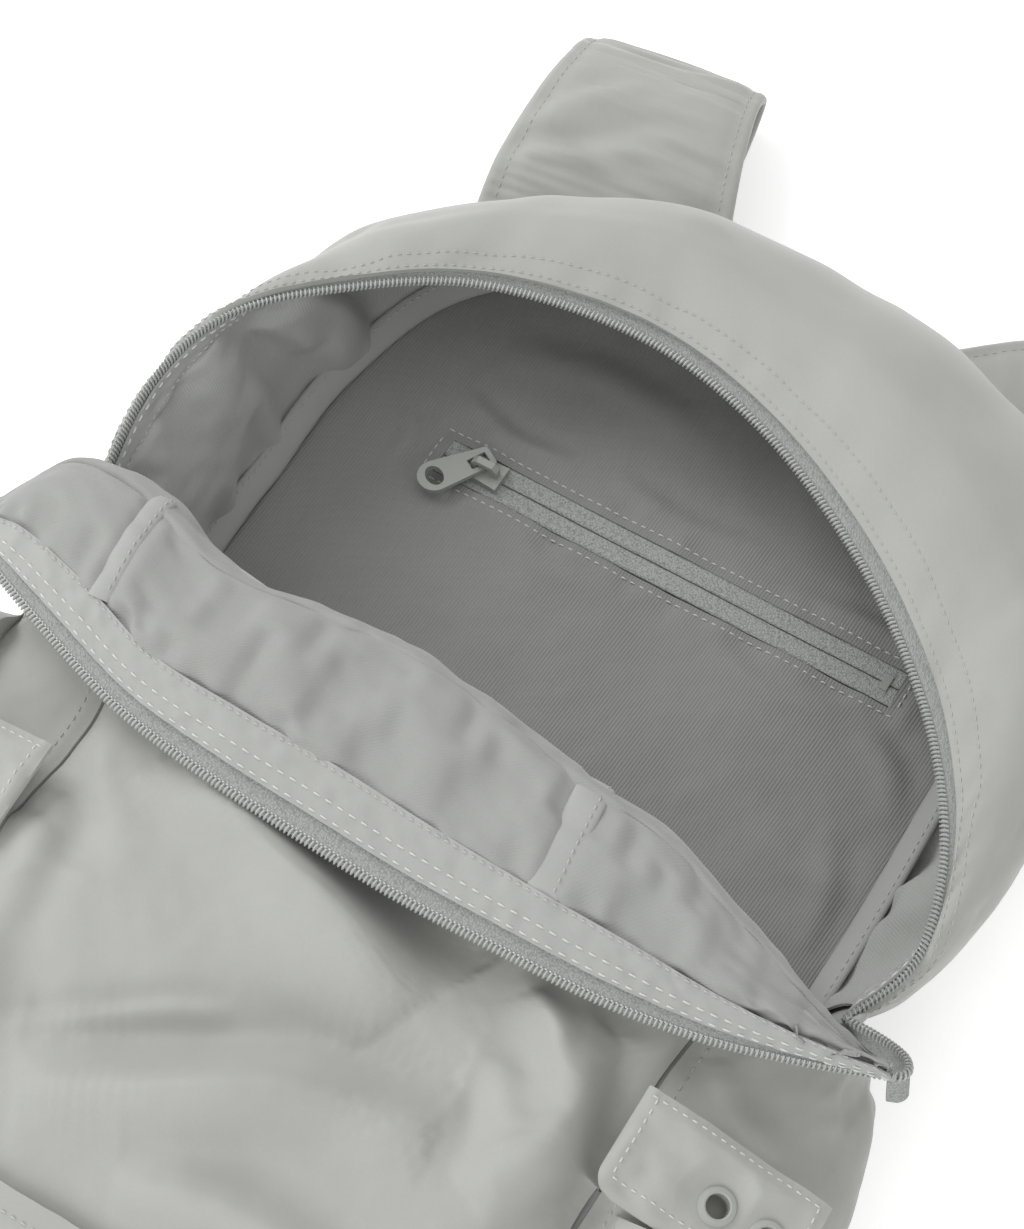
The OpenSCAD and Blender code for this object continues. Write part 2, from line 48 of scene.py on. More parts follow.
def spline(points, s):
    """Catmull-Rom curve through points, along their first axis, at s from 0 to 1."""
    p = np.asarray(points, float)
    n = len(p) - 1
    x = np.clip(s, 0, 1) * n
    i = np.minimum(x.astype(int), n - 1)
    t = (x - i).reshape((-1,) + (1,) * (p.ndim - 1))
    a, b, c, d = (p[np.clip(i + k, 0, n)] for k in (-1, 0, 1, 2))
    return 0.5 * (2 * b + (c - a) * t + (2 * a - 5 * b + 4 * c - d) * t**2 + (3 * b - a - 3 * c + d) * t**3)


def span(a, b, n):
    """n steps from a to b."""
    return np.linspace(a, b, n + 1)


def loft(curves, u, v):
    """Grid of points at (u, v) on the surface that runs across the curves."""
    rows = np.stack([spline(curve, u) for curve in curves])
    return spline(rows, v).transpose(1, 0, 2)


def part_of(grid, u0, u1, v0, v1, nu, nv):
    """A piece of the grid, drawn again with nu by nv cells."""
    finer = spline(grid, span(u0, u1, nu))
    return spline(finer.swapaxes(0, 1), span(v0, v1, nv)).swapaxes(0, 1)


def refine(grid, nu, nv):
    return part_of(grid, 0, 1, 0, 1, nu, nv)


def ramp(x, reach):
    """0 at x = 0 and below, 1 at reach and beyond."""
    return np.clip(x / reach, 0, 1)


def bell(x, width):
    return np.exp(-((x / width) ** 2))


def unit(a):
    return a / np.maximum(np.linalg.norm(a, axis=-1, keepdims=True), 1e-9)


def normals(grid):
    return unit(np.cross(np.gradient(grid, axis=0), np.gradient(grid, axis=1)))


def line_on(grid, u, v):
    """Points and normals along the line (u, v) on a grid, u and v being arrays of one length."""
    facing = normals(grid)
    nu, nv = grid.shape[0] - 1, grid.shape[1] - 1
    x, y = np.clip(u, 0, 1) * nu, np.clip(v, 0, 1) * nv
    i, j = np.minimum(x.astype(int), nu - 1), np.minimum(y.astype(int), nv - 1)
    s, t = (x - i)[:, None], (y - j)[:, None]

    def blend(a):
        low = a[i, j] * (1 - s) + a[i + 1, j] * s
        high = a[i, j + 1] * (1 - s) + a[i + 1, j + 1] * s
        return low * (1 - t) + high * t

    return blend(grid), unit(blend(facing))


def noise(shape, cells, seed):
    """Smooth noise from -1 to 1 on a grid of a shape, with cells[0] by cells[1] bumps."""
    lattice = np.random.default_rng(seed).uniform(-1, 1, (cells[0] + 1, cells[1] + 1))
    rows = spline(lattice, span(0, 1, shape[0] - 1))
    return spline(rows.T, span(0, 1, shape[1] - 1)).T


def layers(shape, *kinds):
    """Noise of several kinds added up, each given as (height, cells along, cells across, seed)."""
    return sum(height * noise(shape, (along, across), seed) for height, along, across, seed in kinds)


def flat_size(grid):
    """Distances along u and v over a grid, as if the cloth were laid flat."""
    du = np.linalg.norm(np.diff(grid, axis=0), axis=2).mean(axis=1)
    dv = np.linalg.norm(np.diff(grid, axis=1), axis=2).mean(axis=0)
    return np.concatenate([[0], np.cumsum(du)]), np.concatenate([[0], np.cumsum(dv)])


def folds(x, y, strokes):
    """Height of the listed folds. Each is (points, width, height): a ridge with a valley at its left."""
    height = np.zeros(np.broadcast(x, y).shape)
    for points, width, rise in strokes:
        line = spline(points, span(0, 1, 40))
        heading = unit(np.gradient(line, axis=0))
        dx, dy = x[..., None] - line[:, 0], y[..., None] - line[:, 1]
        nearest = np.argmin(dx**2 + dy**2, axis=-1)
        pick = nearest[..., None]
        near_x = np.take_along_axis(dx, pick, -1)[..., 0]
        near_y = np.take_along_axis(dy, pick, -1)[..., 0]
        side = heading[nearest, 0] * near_y - heading[nearest, 1] * near_x
        ahead = heading[nearest, 0] * near_x + heading[nearest, 1] * near_y
        taper = np.sin(pi * (nearest + 0.5) / 41) ** 0.8 * bell(ahead, width)
        ridge = bell(side, width) - 0.8 * bell(side - 1.7 * width, width)
        height += rise * taper * ridge
    return height


# ---- Meshes ----

def linked(name, data):
    """A new object in the scene."""
    thing = bpy.data.objects.new(name, data)
    scene.collection.objects.link(thing)
    return thing


def declare(piece, slot, *stands_for, fill=None):
    """Hides the CAD nodes that a piece stands for; the piece, its material slot and, if it is padded, how
    full it is are not used.
    """
    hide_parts(*stands_for)


def make(name, points, faces, material, body="bag", uv=None, sharp=50):
    """A mesh piece from points in millimetres, riding on a body."""
    mesh = bpy.data.meshes.new(name)
    mesh.from_pydata((points * MM).tolist(), [], faces)
    if uv is not None:
        layer = mesh.uv_layers.new(name="flat")
        corners = np.empty(len(mesh.loops), int)
        mesh.loops.foreach_get("vertex_index", corners)
        layer.data.foreach_set("uv", (uv[corners] * MM).ravel())
    mesh.materials.append(material)
    mesh.shade_smooth()
    mesh.set_sharp_from_angle(angle=radians(sharp))
    piece = linked(name, mesh)
    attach(piece, body)
    return piece


def grid_faces(nu, nv):
    i, j = np.meshgrid(np.arange(nu - 1), np.arange(nv - 1), indexing="ij")
    a = (i * nv + j).ravel()
    return np.stack([a, a + nv, a + nv + 1, a + 1], axis=1)


def slab(name, top, under, material, body="bag", keep=None):
    """A closed sheet between two grids of one shape; keep picks which of their cells are cloth."""
    nu, nv = top.shape[:2]
    count = nu * nv
    up = grid_faces(nu, nv)
    if keep is not None:
        up = up[keep.ravel()]
    edges = np.stack([up, np.roll(up, -1, axis=1)], axis=-1).reshape(-1, 2)
    code, back = edges[:, 0] * count + edges[:, 1], edges[:, 1] * count + edges[:, 0]
    a, b = edges[~np.isin(code, back)].T
    rim = np.stack([b, a, a + count, b + count], axis=1)
    faces = np.concatenate([up, up[:, ::-1] + count, rim])
    if np.mean(np.sum((top - under) * normals(top), axis=-1)) < 0:
        faces = faces[:, ::-1]
    along, across = flat_size(top)
    flat = np.stack(np.meshgrid(along, across, indexing="ij"), axis=-1).reshape(-1, 2)
    points = np.concatenate([top.reshape(-1, 3), under.reshape(-1, 3)])
    used, faces = np.unique(faces, return_inverse=True)
    faces = faces.reshape(-1, 4).tolist()
    return make(name, points[used], faces, material, body, np.concatenate([flat, flat])[used])


def tube(name, points, material, body="bag"):
    """A closed skin over rings of points, the rings along the first axis."""
    n, m = points.shape[:2]
    index = np.arange(n * m).reshape(n, m)
    after = np.roll(index, -1, axis=1)
    walls = np.stack([index[:-1], after[:-1], after[1:], index[1:]], axis=-1).reshape(-1, 4)
    faces = walls.tolist() + [index[0][::-1].tolist(), index[-1].tolist()]
    closed = np.concatenate([points, points[:, :1]], axis=1)
    along, around = flat_size(closed)
    flat = np.stack(np.meshgrid(along, around[:-1], indexing="ij"), axis=-1).reshape(-1, 2)
    return make(name, points.reshape(-1, 3), faces, material, body, flat)


def sweep(name, path, up, profile, material, body="bag"):
    """A closed section swept along a path. The profile's points are (sideways, up)."""
    tangent = unit(np.gradient(path, axis=0))
    side = unit(np.cross(tangent, up))
    rise = np.cross(side, tangent)
    points = path[:, None] + side[:, None] * profile[:, :1] + rise[:, None] * profile[:, 1:]
    return tube(name, points, material, body)


CORNER_POINTS = 41


def rounded_rim(half_width, low, high, r_low, r_high, inset):
    """Points round a rectangle with rounded corners, drawn in by inset."""
    rim = []
    corners = ((1, high, r_high, 0), (-1, high, r_high, 90), (-1, low, r_low, 180), (1, low, r_low, 270))
    for x, y, r, start in corners:
        turn = np.radians(np.linspace(start, start + 90, CORNER_POINTS))
        centre = np.array([x * (half_width - r), y - r if y == high else y + r])
        rim.append(centre + (r - min(inset, r - 1)) * np.stack([np.cos(turn), np.sin(turn)], axis=1)
                - max(inset - r + 1, 0) * np.array([x, 1 if y == high else -1]))
    return np.concatenate(rim)


def pad(name, shape, section, material, seed, rough=0.0):
    """A padded slab: rings round a rounded rectangle, at the section's (inset, z)."""
    heights = np.ones(4 * CORNER_POINTS)
    rings = [np.column_stack([rounded_rim(*shape, inset), heights * z]) for inset, z in section]
    rings = spline(np.stack(rings), span(0, 1, 8 * len(section)))
    bumps = noise(rings.shape, (4, 30), seed) * rough
    bumps *= np.sin(pi * span(0, 1, len(rings) - 1))[:, None] ** 2
    rings[..., :2] += bumps[..., None] * unit(rings[..., :2] - rings[..., :2].mean(axis=(0, 1)))
    return tube(name, rings[:, ::-1], material)


def oval(width, height, n=16, power=2.0):
    """Profile of a rounded strip, fuller than an ellipse when power is over 2."""
    a = np.arange(n) * 2 * pi / n
    x, y = np.cos(a), np.sin(a)
    r = (abs(x) ** power + abs(y) ** power) ** (-1 / power)
    return np.stack([-x * r * width / 2, y * r * height / 2], axis=1)


def resample(path, up, spacing):
    """The path at an even spacing, with its normals."""
    steps = np.linalg.norm(np.diff(path, axis=0), axis=1)
    along = np.concatenate([[0], np.cumsum(steps)])
    s = np.linspace(0, along[-1], max(int(round(along[-1] / spacing)), 2) + 1)
    point = np.stack([np.interp(s, along, path[:, k]) for k in range(3)], axis=1)
    up = np.broadcast_to(up, path.shape)
    normal = np.stack([np.interp(s, along, up[:, k]) for k in range(3)], axis=1)
    return point, unit(normal)


def stitches(name, path, up, material, body="bag", pitch=2.8, length=1.9, radius=0.26):
    """A row of thread dashes along a path, each of four rings of six points, its ends sunk in the cloth."""
    fine, facing = resample(path, up, pitch / 6)
    first = np.arange(0, len(fine) - 6, 6)
    reach = max(int(round(6 * length / pitch)), 2)
    rings = []
    for k, (size, raised) in enumerate([(0.45, -0.25), (1, 0.12), (1, 0.12), (0.45, -0.25)]):
        i = first + round(k * reach / 3)
        t = unit(fine[first + reach] - fine[first])
        side = np.cross(t, facing[i])
        a = np.arange(6) * pi / 3
        circle = np.cos(a)[None, :, None] * side[:, None] + np.sin(a)[None, :, None] * facing[i][:, None]
        rings.append((fine[i] + facing[i] * raised)[:, None] + circle * radius * size)
    points = np.stack(rings, axis=1)
    base = np.arange(len(first))[:, None] * 24
    k = np.arange(6)
    faces = []
    for ring in range(3):
        a, b = ring * 6 + k, ring * 6 + (k + 1) % 6
        quad = np.stack([a, b, b + 6, a + 6], axis=1)
        faces += (base[:, :, None] + quad[None]).reshape(-1, 4).tolist()
    faces += (base + k[::-1]).tolist()
    faces += (base + 18 + k).tolist()
    return make(name, points.reshape(-1, 3), faces, material, body, sharp=80)


def stitch_row(name, grid, u, v, n, material, body="bag", up=None, **dash):
    """Stitches along a line of n steps on a grid. One of u and v is a value, the other a pair of ends."""
    u, v = (span(*ends, n) if isinstance(ends, tuple) else np.full(n + 1, ends) for ends in (u, v))
    path, facing_up = line_on(grid, u, v)
    stitches(name, path, facing_up if up is None else up, material, body, **dash)


COIL_PITCH = 1.25


def coil(name, path, up, body="bag", radius=1.15, wire=0.36):
    """A nylon zip coil: an oval helix along the path, eight points a turn."""
    centre, facing = resample(path, up, COIL_PITCH / 8)
    t = unit(np.gradient(centre, axis=0))
    side = unit(np.cross(t, facing))
    turn = np.arange(len(centre)) * 2 * pi / 8
    helix = centre + side * (np.cos(turn) * radius)[:, None]
    helix = helix + facing * (np.sin(turn) * radius * 0.75)[:, None]
    return sweep(name, helix, facing + 0.01, oval(2 * wire, 2 * wire, 5), nylon, body)


SIM_SCALE = 0.01     # a cloth is simulated at ten times its size
SIM_FRAMES = 20
SINK = 0.25          # the share of an inward motion that is kept


def drape(grid, pinned, slack, pressure, cap, seed, bend=3.0):
    """The grid after a cloth simulation in which the pinned points stay, moved by cap at most."""
    jolt = 0.5 * noise(grid.shape, (12, 4), seed)
    start = grid + normals(grid) * (jolt * (1 - pinned))[..., None]
    mesh = bpy.data.meshes.new("drape")
    mesh.from_pydata((start.reshape(-1, 3) * SIM_SCALE).tolist(), [], grid_faces(*grid.shape[:2]).tolist())
    cloth = linked("drape", mesh)
    group = cloth.vertex_groups.new(name="pin")
    for i, weight in enumerate(pinned.ravel()):
        if weight > 0:
            group.add([i], float(weight), "REPLACE")
    modifier = cloth.modifiers.new("cloth", "CLOTH")
    wanted = {"quality": 7, "mass": 0.3, "tension_stiffness": 25, "compression_stiffness": 25,
              "shear_stiffness": 8, "bending_stiffness": bend, "shrink_min": -slack,
              "vertex_group_mass": "pin", "use_pressure": True, "uniform_pressure_force": pressure}
    for key, value in wanted.items():
        setattr(modifier.settings, key, value)
    modifier.settings.effector_weights.gravity = 0
    modifier.collision_settings.use_collision = False
    for step in range(1, SIM_FRAMES + 1):
        scene.frame_set(step)
    after = cloth.evaluated_get(bpy.context.evaluated_depsgraph_get()).to_mesh()
    points = np.empty(len(after.vertices) * 3)
    after.vertices.foreach_get("co", points)
    moved = points.reshape(grid.shape) / SIM_SCALE - grid
    out = normals(grid)
    height = np.sum(moved * out, axis=-1, keepdims=True)
    moved += out * (np.maximum(height, SINK * height) - height)
    size = np.linalg.norm(moved, axis=-1, keepdims=True)
    bpy.data.objects.remove(cloth)
    scene.frame_set(1)
    return grid + moved * np.minimum(1, cap / np.maximum(size, 1e-6))


def edges_pinned(shape):
    """Pin weights for a grid: 1 along its four edges."""
    pins = np.zeros(shape[:2])
    pins[[0, -1]] = 1
    pins[:, [0, -1]] = 1
    return pins


# ---- Materials ----

class Nodes:
    """A material's node tree, with short calls to add and join nodes."""

    def __init__(self, name, roughness, **shader):
        self.material = bpy.data.materials.new(name)
        self.material.use_nodes = True
        self.tree = self.material.node_tree
        self.bsdf = self.tree.nodes["Principled BSDF"]
        self.bsdf.inputs["Roughness"].default_value = roughness
        for key, value in shader.items():
            self.bsdf.inputs[key.replace("_", " ").title().replace("Ior", "IOR")].default_value = value
        self.place = self.add("TexCoord").outputs

    def add(self, kind, inputs=None, **settings):
        node = self.tree.nodes.new("ShaderNode" + kind)
        for key, value in settings.items():
            setattr(node, key, value)
        for key, value in (inputs or {}).items():
            if hasattr(value, "is_output"):
                self.tree.links.new(value, node.inputs[key])
            else:
                node.inputs[key].default_value = value
        return node

    def math(self, operation, a, b):
        return self.add("Math", {0: a, 1: b}, operation=operation).outputs[0]

    def colours(self, factor, colour, spread):
        """The colour, darker by the spread where the factor is 0 and lighter by it where it is 1."""
        mix = self.add("Mix", {"Factor": factor}, data_type="RGBA")
        mix.inputs[6].default_value = (*shade(colour, 1 - spread), 1)
        mix.inputs[7].default_value = (*shade(colour, 1 + spread), 1)
        self.tree.links.new(mix.outputs[2], self.bsdf.inputs["Base Color"])

    def bump(self, height, distance):
        node = self.add("Bump", {"Height": height, "Distance": distance, "Strength": 1.0})
        self.tree.links.new(node.outputs[0], self.bsdf.inputs["Normal"])


def shade(colour, factor):
    return tuple(channel * factor for channel in colour)


OUTER = (0.385, 0.390, 0.366)
INNER = (0.345, 0.350, 0.335)
TAPE = (0.330, 0.342, 0.325)
THREAD = (0.600, 0.605, 0.580)
PAINT = (0.360, 0.370, 0.345)


def cloth(name, colour, twill=0.0, bearing=0, weave=0.0003, fuzz=0.25, relief=1.0):
    """Washed cotton: broad fading, fine weave, and diagonal twill lines twill metres apart."""
    n = Nodes(name, 0.88 if twill else 0.6, sheen_weight=fuzz, sheen_roughness=0.5,
              specular_ior_level=0.2 if twill else 0.32)
    fade = n.add("TexNoise", {"Vector": n.place["Object"], "Scale": 28.0, "Detail": 4.0,
            "Roughness": 0.6}).outputs["Fac"]
    fine = n.add("TexNoise", {"Vector": n.place["UV"], "Scale": 1 / weave / 3, "Detail": 3.0,
            "Roughness": 0.7}).outputs["Fac"]
    height = n.math("MULTIPLY", fine, 0.6)
    tone = n.math("ADD", n.math("MULTIPLY", fade, 0.65), n.math("MULTIPLY", fine, 0.35))
    if twill:
        turned = n.add("Mapping", {"Vector": n.place["UV"], "Rotation": (0, 0, radians(bearing))})
        lines = n.add("TexWave", {"Vector": turned.outputs[0], "Scale": 0.314 / twill, "Distortion": 0.3,
                "Detail": 1.0, "Detail Scale": 3.0}).outputs["Fac"]
        height = n.math("ADD", height, n.math("MULTIPLY", lines, 0.9 * relief))
        tone = n.math("ADD", n.math("MULTIPLY", tone, 0.8), n.math("MULTIPLY", lines, 0.2 * relief))
    n.colours(tone, colour, 0.14)
    n.bump(height, 0.00012 if twill else 0.00007)
    return n.material


def knit(name, colour, cell=0.00055, contrast=0.3):
    """Zip tape: a close knit, speckled light and dark."""
    n = Nodes(name, 0.8, sheen_weight=0.15)
    cells = n.add("TexVoronoi", {"Vector": n.place["UV"], "Scale": 1 / cell, "Randomness": 0.7})
    n.colours(n.math("MULTIPLY", cells.outputs["Distance"], 1.2), colour, -contrast)
    n.bump(cells.outputs["Distance"], -0.00025)
    return n.material


def plain(name, colour, roughness, grain, spread=0.06, depth=0.00004, **shader):
    """Paint, nylon or thread: one colour with a fine grain."""
    n = Nodes(name, roughness, **shader)
    speck = n.add("TexNoise", {"Vector": n.place["Object"], "Scale": grain, "Detail": 3.0})
    n.colours(speck.outputs["Fac"], colour, spread)
    n.bump(speck.outputs["Fac"], depth)
    return n.material


outer = cloth("outer_cloth", OUTER, weave=0.00028, fuzz=0.3)
# Painted shade: the lining inside the bag is darkened to 0.78 of the lining colour to stand in for the shade
# inside the open bag.
inner = cloth("lining_twill", shade(INNER, 0.78), twill=0.00093, bearing=4)
# Painted light: the same lining, lightened to 1.15 of the lining colour to stand in for the light falling on
# the inner walls of the arch.
painted_light_wall_lining = cloth("painted_light_wall_lining_twill", shade(INNER, 1.15), twill=0.0008, bearing=30, relief=0.5)
cuff_lining = cloth("cuff_lining_twill", shade(INNER, 0.96), twill=0.0007, bearing=52, relief=0.3)
facing = cloth("facing_cloth", shade(INNER, 1.08), weave=0.00028)
tape = knit("zip_tape", TAPE)
pocket_tape = knit("pocket_zip_tape", shade(TAPE, 1.2), contrast=0.4)
webbing = knit("webbing", shade(TAPE, 1.15), cell=0.0011, contrast=0.18)
nylon = plain("zip_coil", shade(TAPE, 1.25), 0.45, 900)
thread = plain("thread", THREAD, 0.7, 1500, sheen_weight=0.2)
dull_thread = plain("dull_thread", shade(THREAD, 0.75), 0.7, 1500)
paint = plain("painted_metal", PAINT, 0.42, 1400, spread=0.04, depth=0.00002)


# ---- The camera, the floor and the light ----

def stand(name, place, aim, data):
    """A camera or a light at a place, turned to its aim."""
    thing = linked(name, data)
    thing.location = place
    thing.rotation_euler = (Vector(aim) - Vector(place)).to_track_quat("-Z", "Y").to_euler()
    return thing


def add_light(name, place, size, watts):
    data = bpy.data.lights.new(name, "AREA")
    data.shape = "DISK"
    data.size = size
    data.energy = watts
    stand(name, place, (0, 0.08, 0.03), data)


def set_up_view():
    """The photo's view of the bag, on a pale floor under soft light."""
    azimuth, elevation, distance = radians(31), radians(62), 0.829
    target = Vector((-0.027, 0.085, 0))
    away = Vector((sin(azimuth) * cos(elevation), -cos(azimuth) * cos(elevation), sin(elevation)))
    data = bpy.data.cameras.new("camera")
    data.lens = 85
    data.sensor_width = 36
    scene.camera = stand("camera", target + away * distance, target, data)
    n = Nodes("floor", 0.9, base_color=(0.93, 0.93, 0.93, 1), specular_ior_level=0.1,
              emission_color=(1, 1, 1, 1), emission_strength=0.38)
    mesh = bpy.data.meshes.new("floor")
    corners = [(x, y, -0.0003) for x, y in ((-40, -40), (40, -40), (40, 40), (-40, 40))]
    mesh.from_pydata(corners, [], [(0, 1, 2, 3)])
    mesh.materials.append(n.material)
    linked("floor", mesh)
    world = bpy.data.worlds.new("studio")
    world.use_nodes = True
    background = world.node_tree.nodes["Background"].inputs
    background[0].default_value = (1, 1, 1, 1)
    background[1].default_value = 0.68
    scene.world = world
    scene.view_settings.view_transform = "Standard"
    add_light("key", (-1.3, 0.4, 1.0), 1.0, 13)
    add_light("top", (-0.1, 0.6, 1.6), 1.6, 2)
    add_light("front", (0.1, -1.3, 0.8), 1.0, 9)


set_up_view()


# ---- Arch wall and its zip ----

FLOOR_Z = 16.6
FOOT_Z = FLOOR_Z + 1.2
SHELL = 2.4
FOOT = [(-107, -3), (-108, 42), (-108, 82), (-107, 120), (-95, 160), (-65, 186), (-25, 193), (15, 193),
        (55, 187), (90, 164), (106, 125), (108, 80), (108, 46), (107, 16)]
BULGE = [(-121, -3, 37), (-117, 42, 38), (-119, 82, 38), (-118, 120, 38), (-107, 156, 36), (-78, 187, 34),
         (-32, 206, 32), (18, 207, 32), (64, 198, 32), (106, 172, 32), (126, 128, 32), (128, 84, 32),
         (125, 46, 32), (113, 16, 33)]
CROWN = [(-120, -1.5, 56), (-121, 36, 60), (-124, 72, 62), (-121, 105, 61), (-106, 138, 59), (-74, 168, 58),
         (-30, 184, 57), (16, 180, 57), (58, 166, 58), (96, 138, 58), (118, 104, 57), (126, 70, 54),
         (126, 40, 51), (117, 12, 48)]
ZIP_BACK = [(-115, -0.5, 62), (-121, 28, 69), (-127, 62, 72), (-123, 92, 69), (-105, 117, 64), (-73, 143, 58),
            (-27, 154, 53), (16, 146, 51), (59, 122, 52), (92, 93, 54), (112, 66, 56), (122, 43, 56),
            (124, 24, 56), (116, 5, 54)]
foot_line = [(x, y, FOOT_Z) for x, y in FOOT]
ARCH = [foot_line, BULGE, CROWN, ZIP_BACK]
WALL_EDGE = 0.925
FACING_LOW = 0.745


def puckers(grid, line_v, reach, size, seed):
    """Small ripples across a stitched line at v = line_v, dying away over reach, a fraction of v."""
    nu, nv = grid.shape[:2]
    v = span(0, 1, nv - 1)[None]
    length = flat_size(grid)[0][-1]
    wave = noise((nu, nv), (max(int(length / 6), 2), 3), seed)
    return size * wave * bell(v - line_v, reach)


def arch_wall():
    u = span(0, 1, 60)
    wall = loft(ARCH, u, span(0.0, WALL_EDGE, 16))
    inward = normals(wall)
    plump = np.sin(pi * span(0, 1, 16)[None, :, None]) ** 0.8
    outside = (wall - inward * (SHELL + 1.2 * plump))[:, ::-1]
    outside = drape(outside, edges_pinned(outside.shape), 0.02, 0.6, 5, seed=3)
    outside = refine(outside, 368, 104)
    shape = outside.shape
    rough = layers(shape, (1.3, 26, 3, 11), (0.4, 56, 7, 12))
    calm = np.sin(pi * span(0, 1, 104))[None] ** 0.5
    height = rough * calm + puckers(outside, 0.05, 0.06, 0.5, 13) + puckers(outside, 1.0, 0.12, 0.9, 14)
    outside = outside + normals(outside) * height[..., None]
    shell = slab("arch_outer", outside, refine((wall - inward * 0.2)[:, ::-1], 368, 104), outer)
    declare(shell, "outer_cloth", "arch_shell", fill=0.5)
    for k, v_row in enumerate((0.025, 0.085)):
        stitch_row(f"arch_topstitch_{k}", outside, (0.01, 0.99), v_row, 700, dull_thread, pitch=2.7,
                radius=0.2)

    for end in (0, 1):
        path = loft(ARCH, np.array([end]), span(0.0, WALL_EDGE, 60))[0]
        lean = normals(wall)[-end].mean(axis=0)
        seam = sweep(f"arch_end_seam_{end}", path - lean * 1.4 + (0, -1.2, 0), -lean,
                oval(9, 3.0, 18, 2.6), outer)

    lining = loft(ARCH, u, span(0.0, FACING_LOW, 14))
    lining = lining + normals(lining) * 0.9
    lining = drape(lining, edges_pinned(lining.shape), 0.05, 0.15, 8, seed=5, bend=1.0)
    lining = refine(lining, 368, 88)
    shape = lining.shape
    rough = layers(shape, (0.5, 46, 5, 21), (0.2, 120, 10, 22))
    height = rough + puckers(lining, 0.0, 0.16, 1.3, 23) + puckers(lining, 1.0, 0.1, 0.7, 24)
    lining = lining + normals(lining) * height[..., None]
    up = normals(lining)
    sheet = slab("arch_lining_cloth", lining + up * 0.4, lining - up * 0.3, painted_light_wall_lining)
    declare(sheet, "lining_twill", "arch_lining")

    strip = refine(loft(ARCH, u, span(FACING_LOW - 0.012, WALL_EDGE, 6)), 368, 18)
    up = normals(strip)
    height = 1.5 + 0.25 * noise(strip.shape, (80, 3), 31) + puckers(strip, 0.15, 0.3, 0.45, 32)
    strip = strip + up * height[..., None]
    band = slab("arch_facing_strip", strip, strip - up * 0.8, facing)
    declare(band, "lining_twill", "arch_facing")
    for k, (v_row, pitch, material) in enumerate(((0.82, 3.8, thread), (0.14, 2.6, dull_thread))):
        stitch_row(f"facing_stitch_{k}", strip, (0.003, 0.997), v_row, 900, material, pitch=pitch,
                length=pitch * 0.68)


def zip_half(which, strip, high, low, middle, body):
    """A tape between two heights over a strip, with a coil round a cord along its edge."""
    up = normals(strip)
    woven = slab(f"{which}_zip_tape", strip + up * high, strip + up * low, tape, body)
    declare(woven, "zip_tape", f"zip_tape_{which}")
    edge, edge_up = line_on(strip + up * middle, span(0, 1, 240), np.full(241, 1.0))
    teeth = coil(f"{which}_zip_coil", edge, edge_up, body)
    declare(teeth, "zip_coil", f"zip_coil_{which}")
    return sweep(f"{which}_zip_cord", edge, edge_up, oval(1.5, 1.2, 8), tape, body)


def back_zip():
    u = span(0, 1, 240)
    strip = loft(ARCH, u, span(WALL_EDGE - 0.03, 0.985, 6))
    core = zip_half("back", strip, 0.35, -0.35, 0, "bag")
    for k, side in enumerate((1, -1)):
        path, facing_up = line_on(strip, u, np.full(241, 0.88))
        stitches(f"back_zip_chain_{k}", path + facing_up * side * 0.35, facing_up * side, thread,
                 pitch=COIL_PITCH, length=1.05, radius=0.24)


def to_middle(path):
    """Level directions from a path to the bag's middle."""
    return unit(np.stack([-path[:, 0], 60 - path[:, 1], 0 * path[:, 0]], axis=1))


def back_binding():
    u = span(0.005, 0.995, 300)
    path = spline(foot_line, u)
    path = path + to_middle(path) * 2.4 + (0, 0, 3.0)
    path[:, 2] += 0.5 * spline(np.random.default_rng(7).uniform(-1, 1, 40), u)
    inward = to_middle(path)
    up = unit(UP + inward * 0.8)
    roll = sweep("back_binding_tape", path, up, oval(8.4, 2.6, 16, 2.4), facing)
    declare(roll, "lining_twill", "binding_back")
    side = unit(np.cross(unit(np.gradient(path, axis=0)), up))
    outward = side if (side[150] @ inward[150]) < 0 else -side
    stitches("binding_stitch", path + outward * 2.6 + up * 1.05, up, dull_thread)


arch_wall()
back_zip()
back_binding()


# ---- Back panel, its lining and the inner pocket ----

ZIP_X, ZIP_Y, ZIP_L, ZIP_W = 7, 112, 146, 12
BACK_W, BACK_TOP, BACK_LOW = 105, 191, -196


def rounded_out(x, y, w, low, high, r_top, r_low):
    """How far a point lies outside a rectangle with rounded corners; negative inside."""
    r = np.where(y > (low + high) / 2, r_top, r_low)
    middle, half = (low + high) / 2, (high - low) / 2
    qx, qy = abs(x) - (w - r), abs(y - middle) - (half - r)
    return np.hypot(np.maximum(qx, 0), np.maximum(qy, 0)) + np.minimum(np.maximum(qx, qy), 0) - r


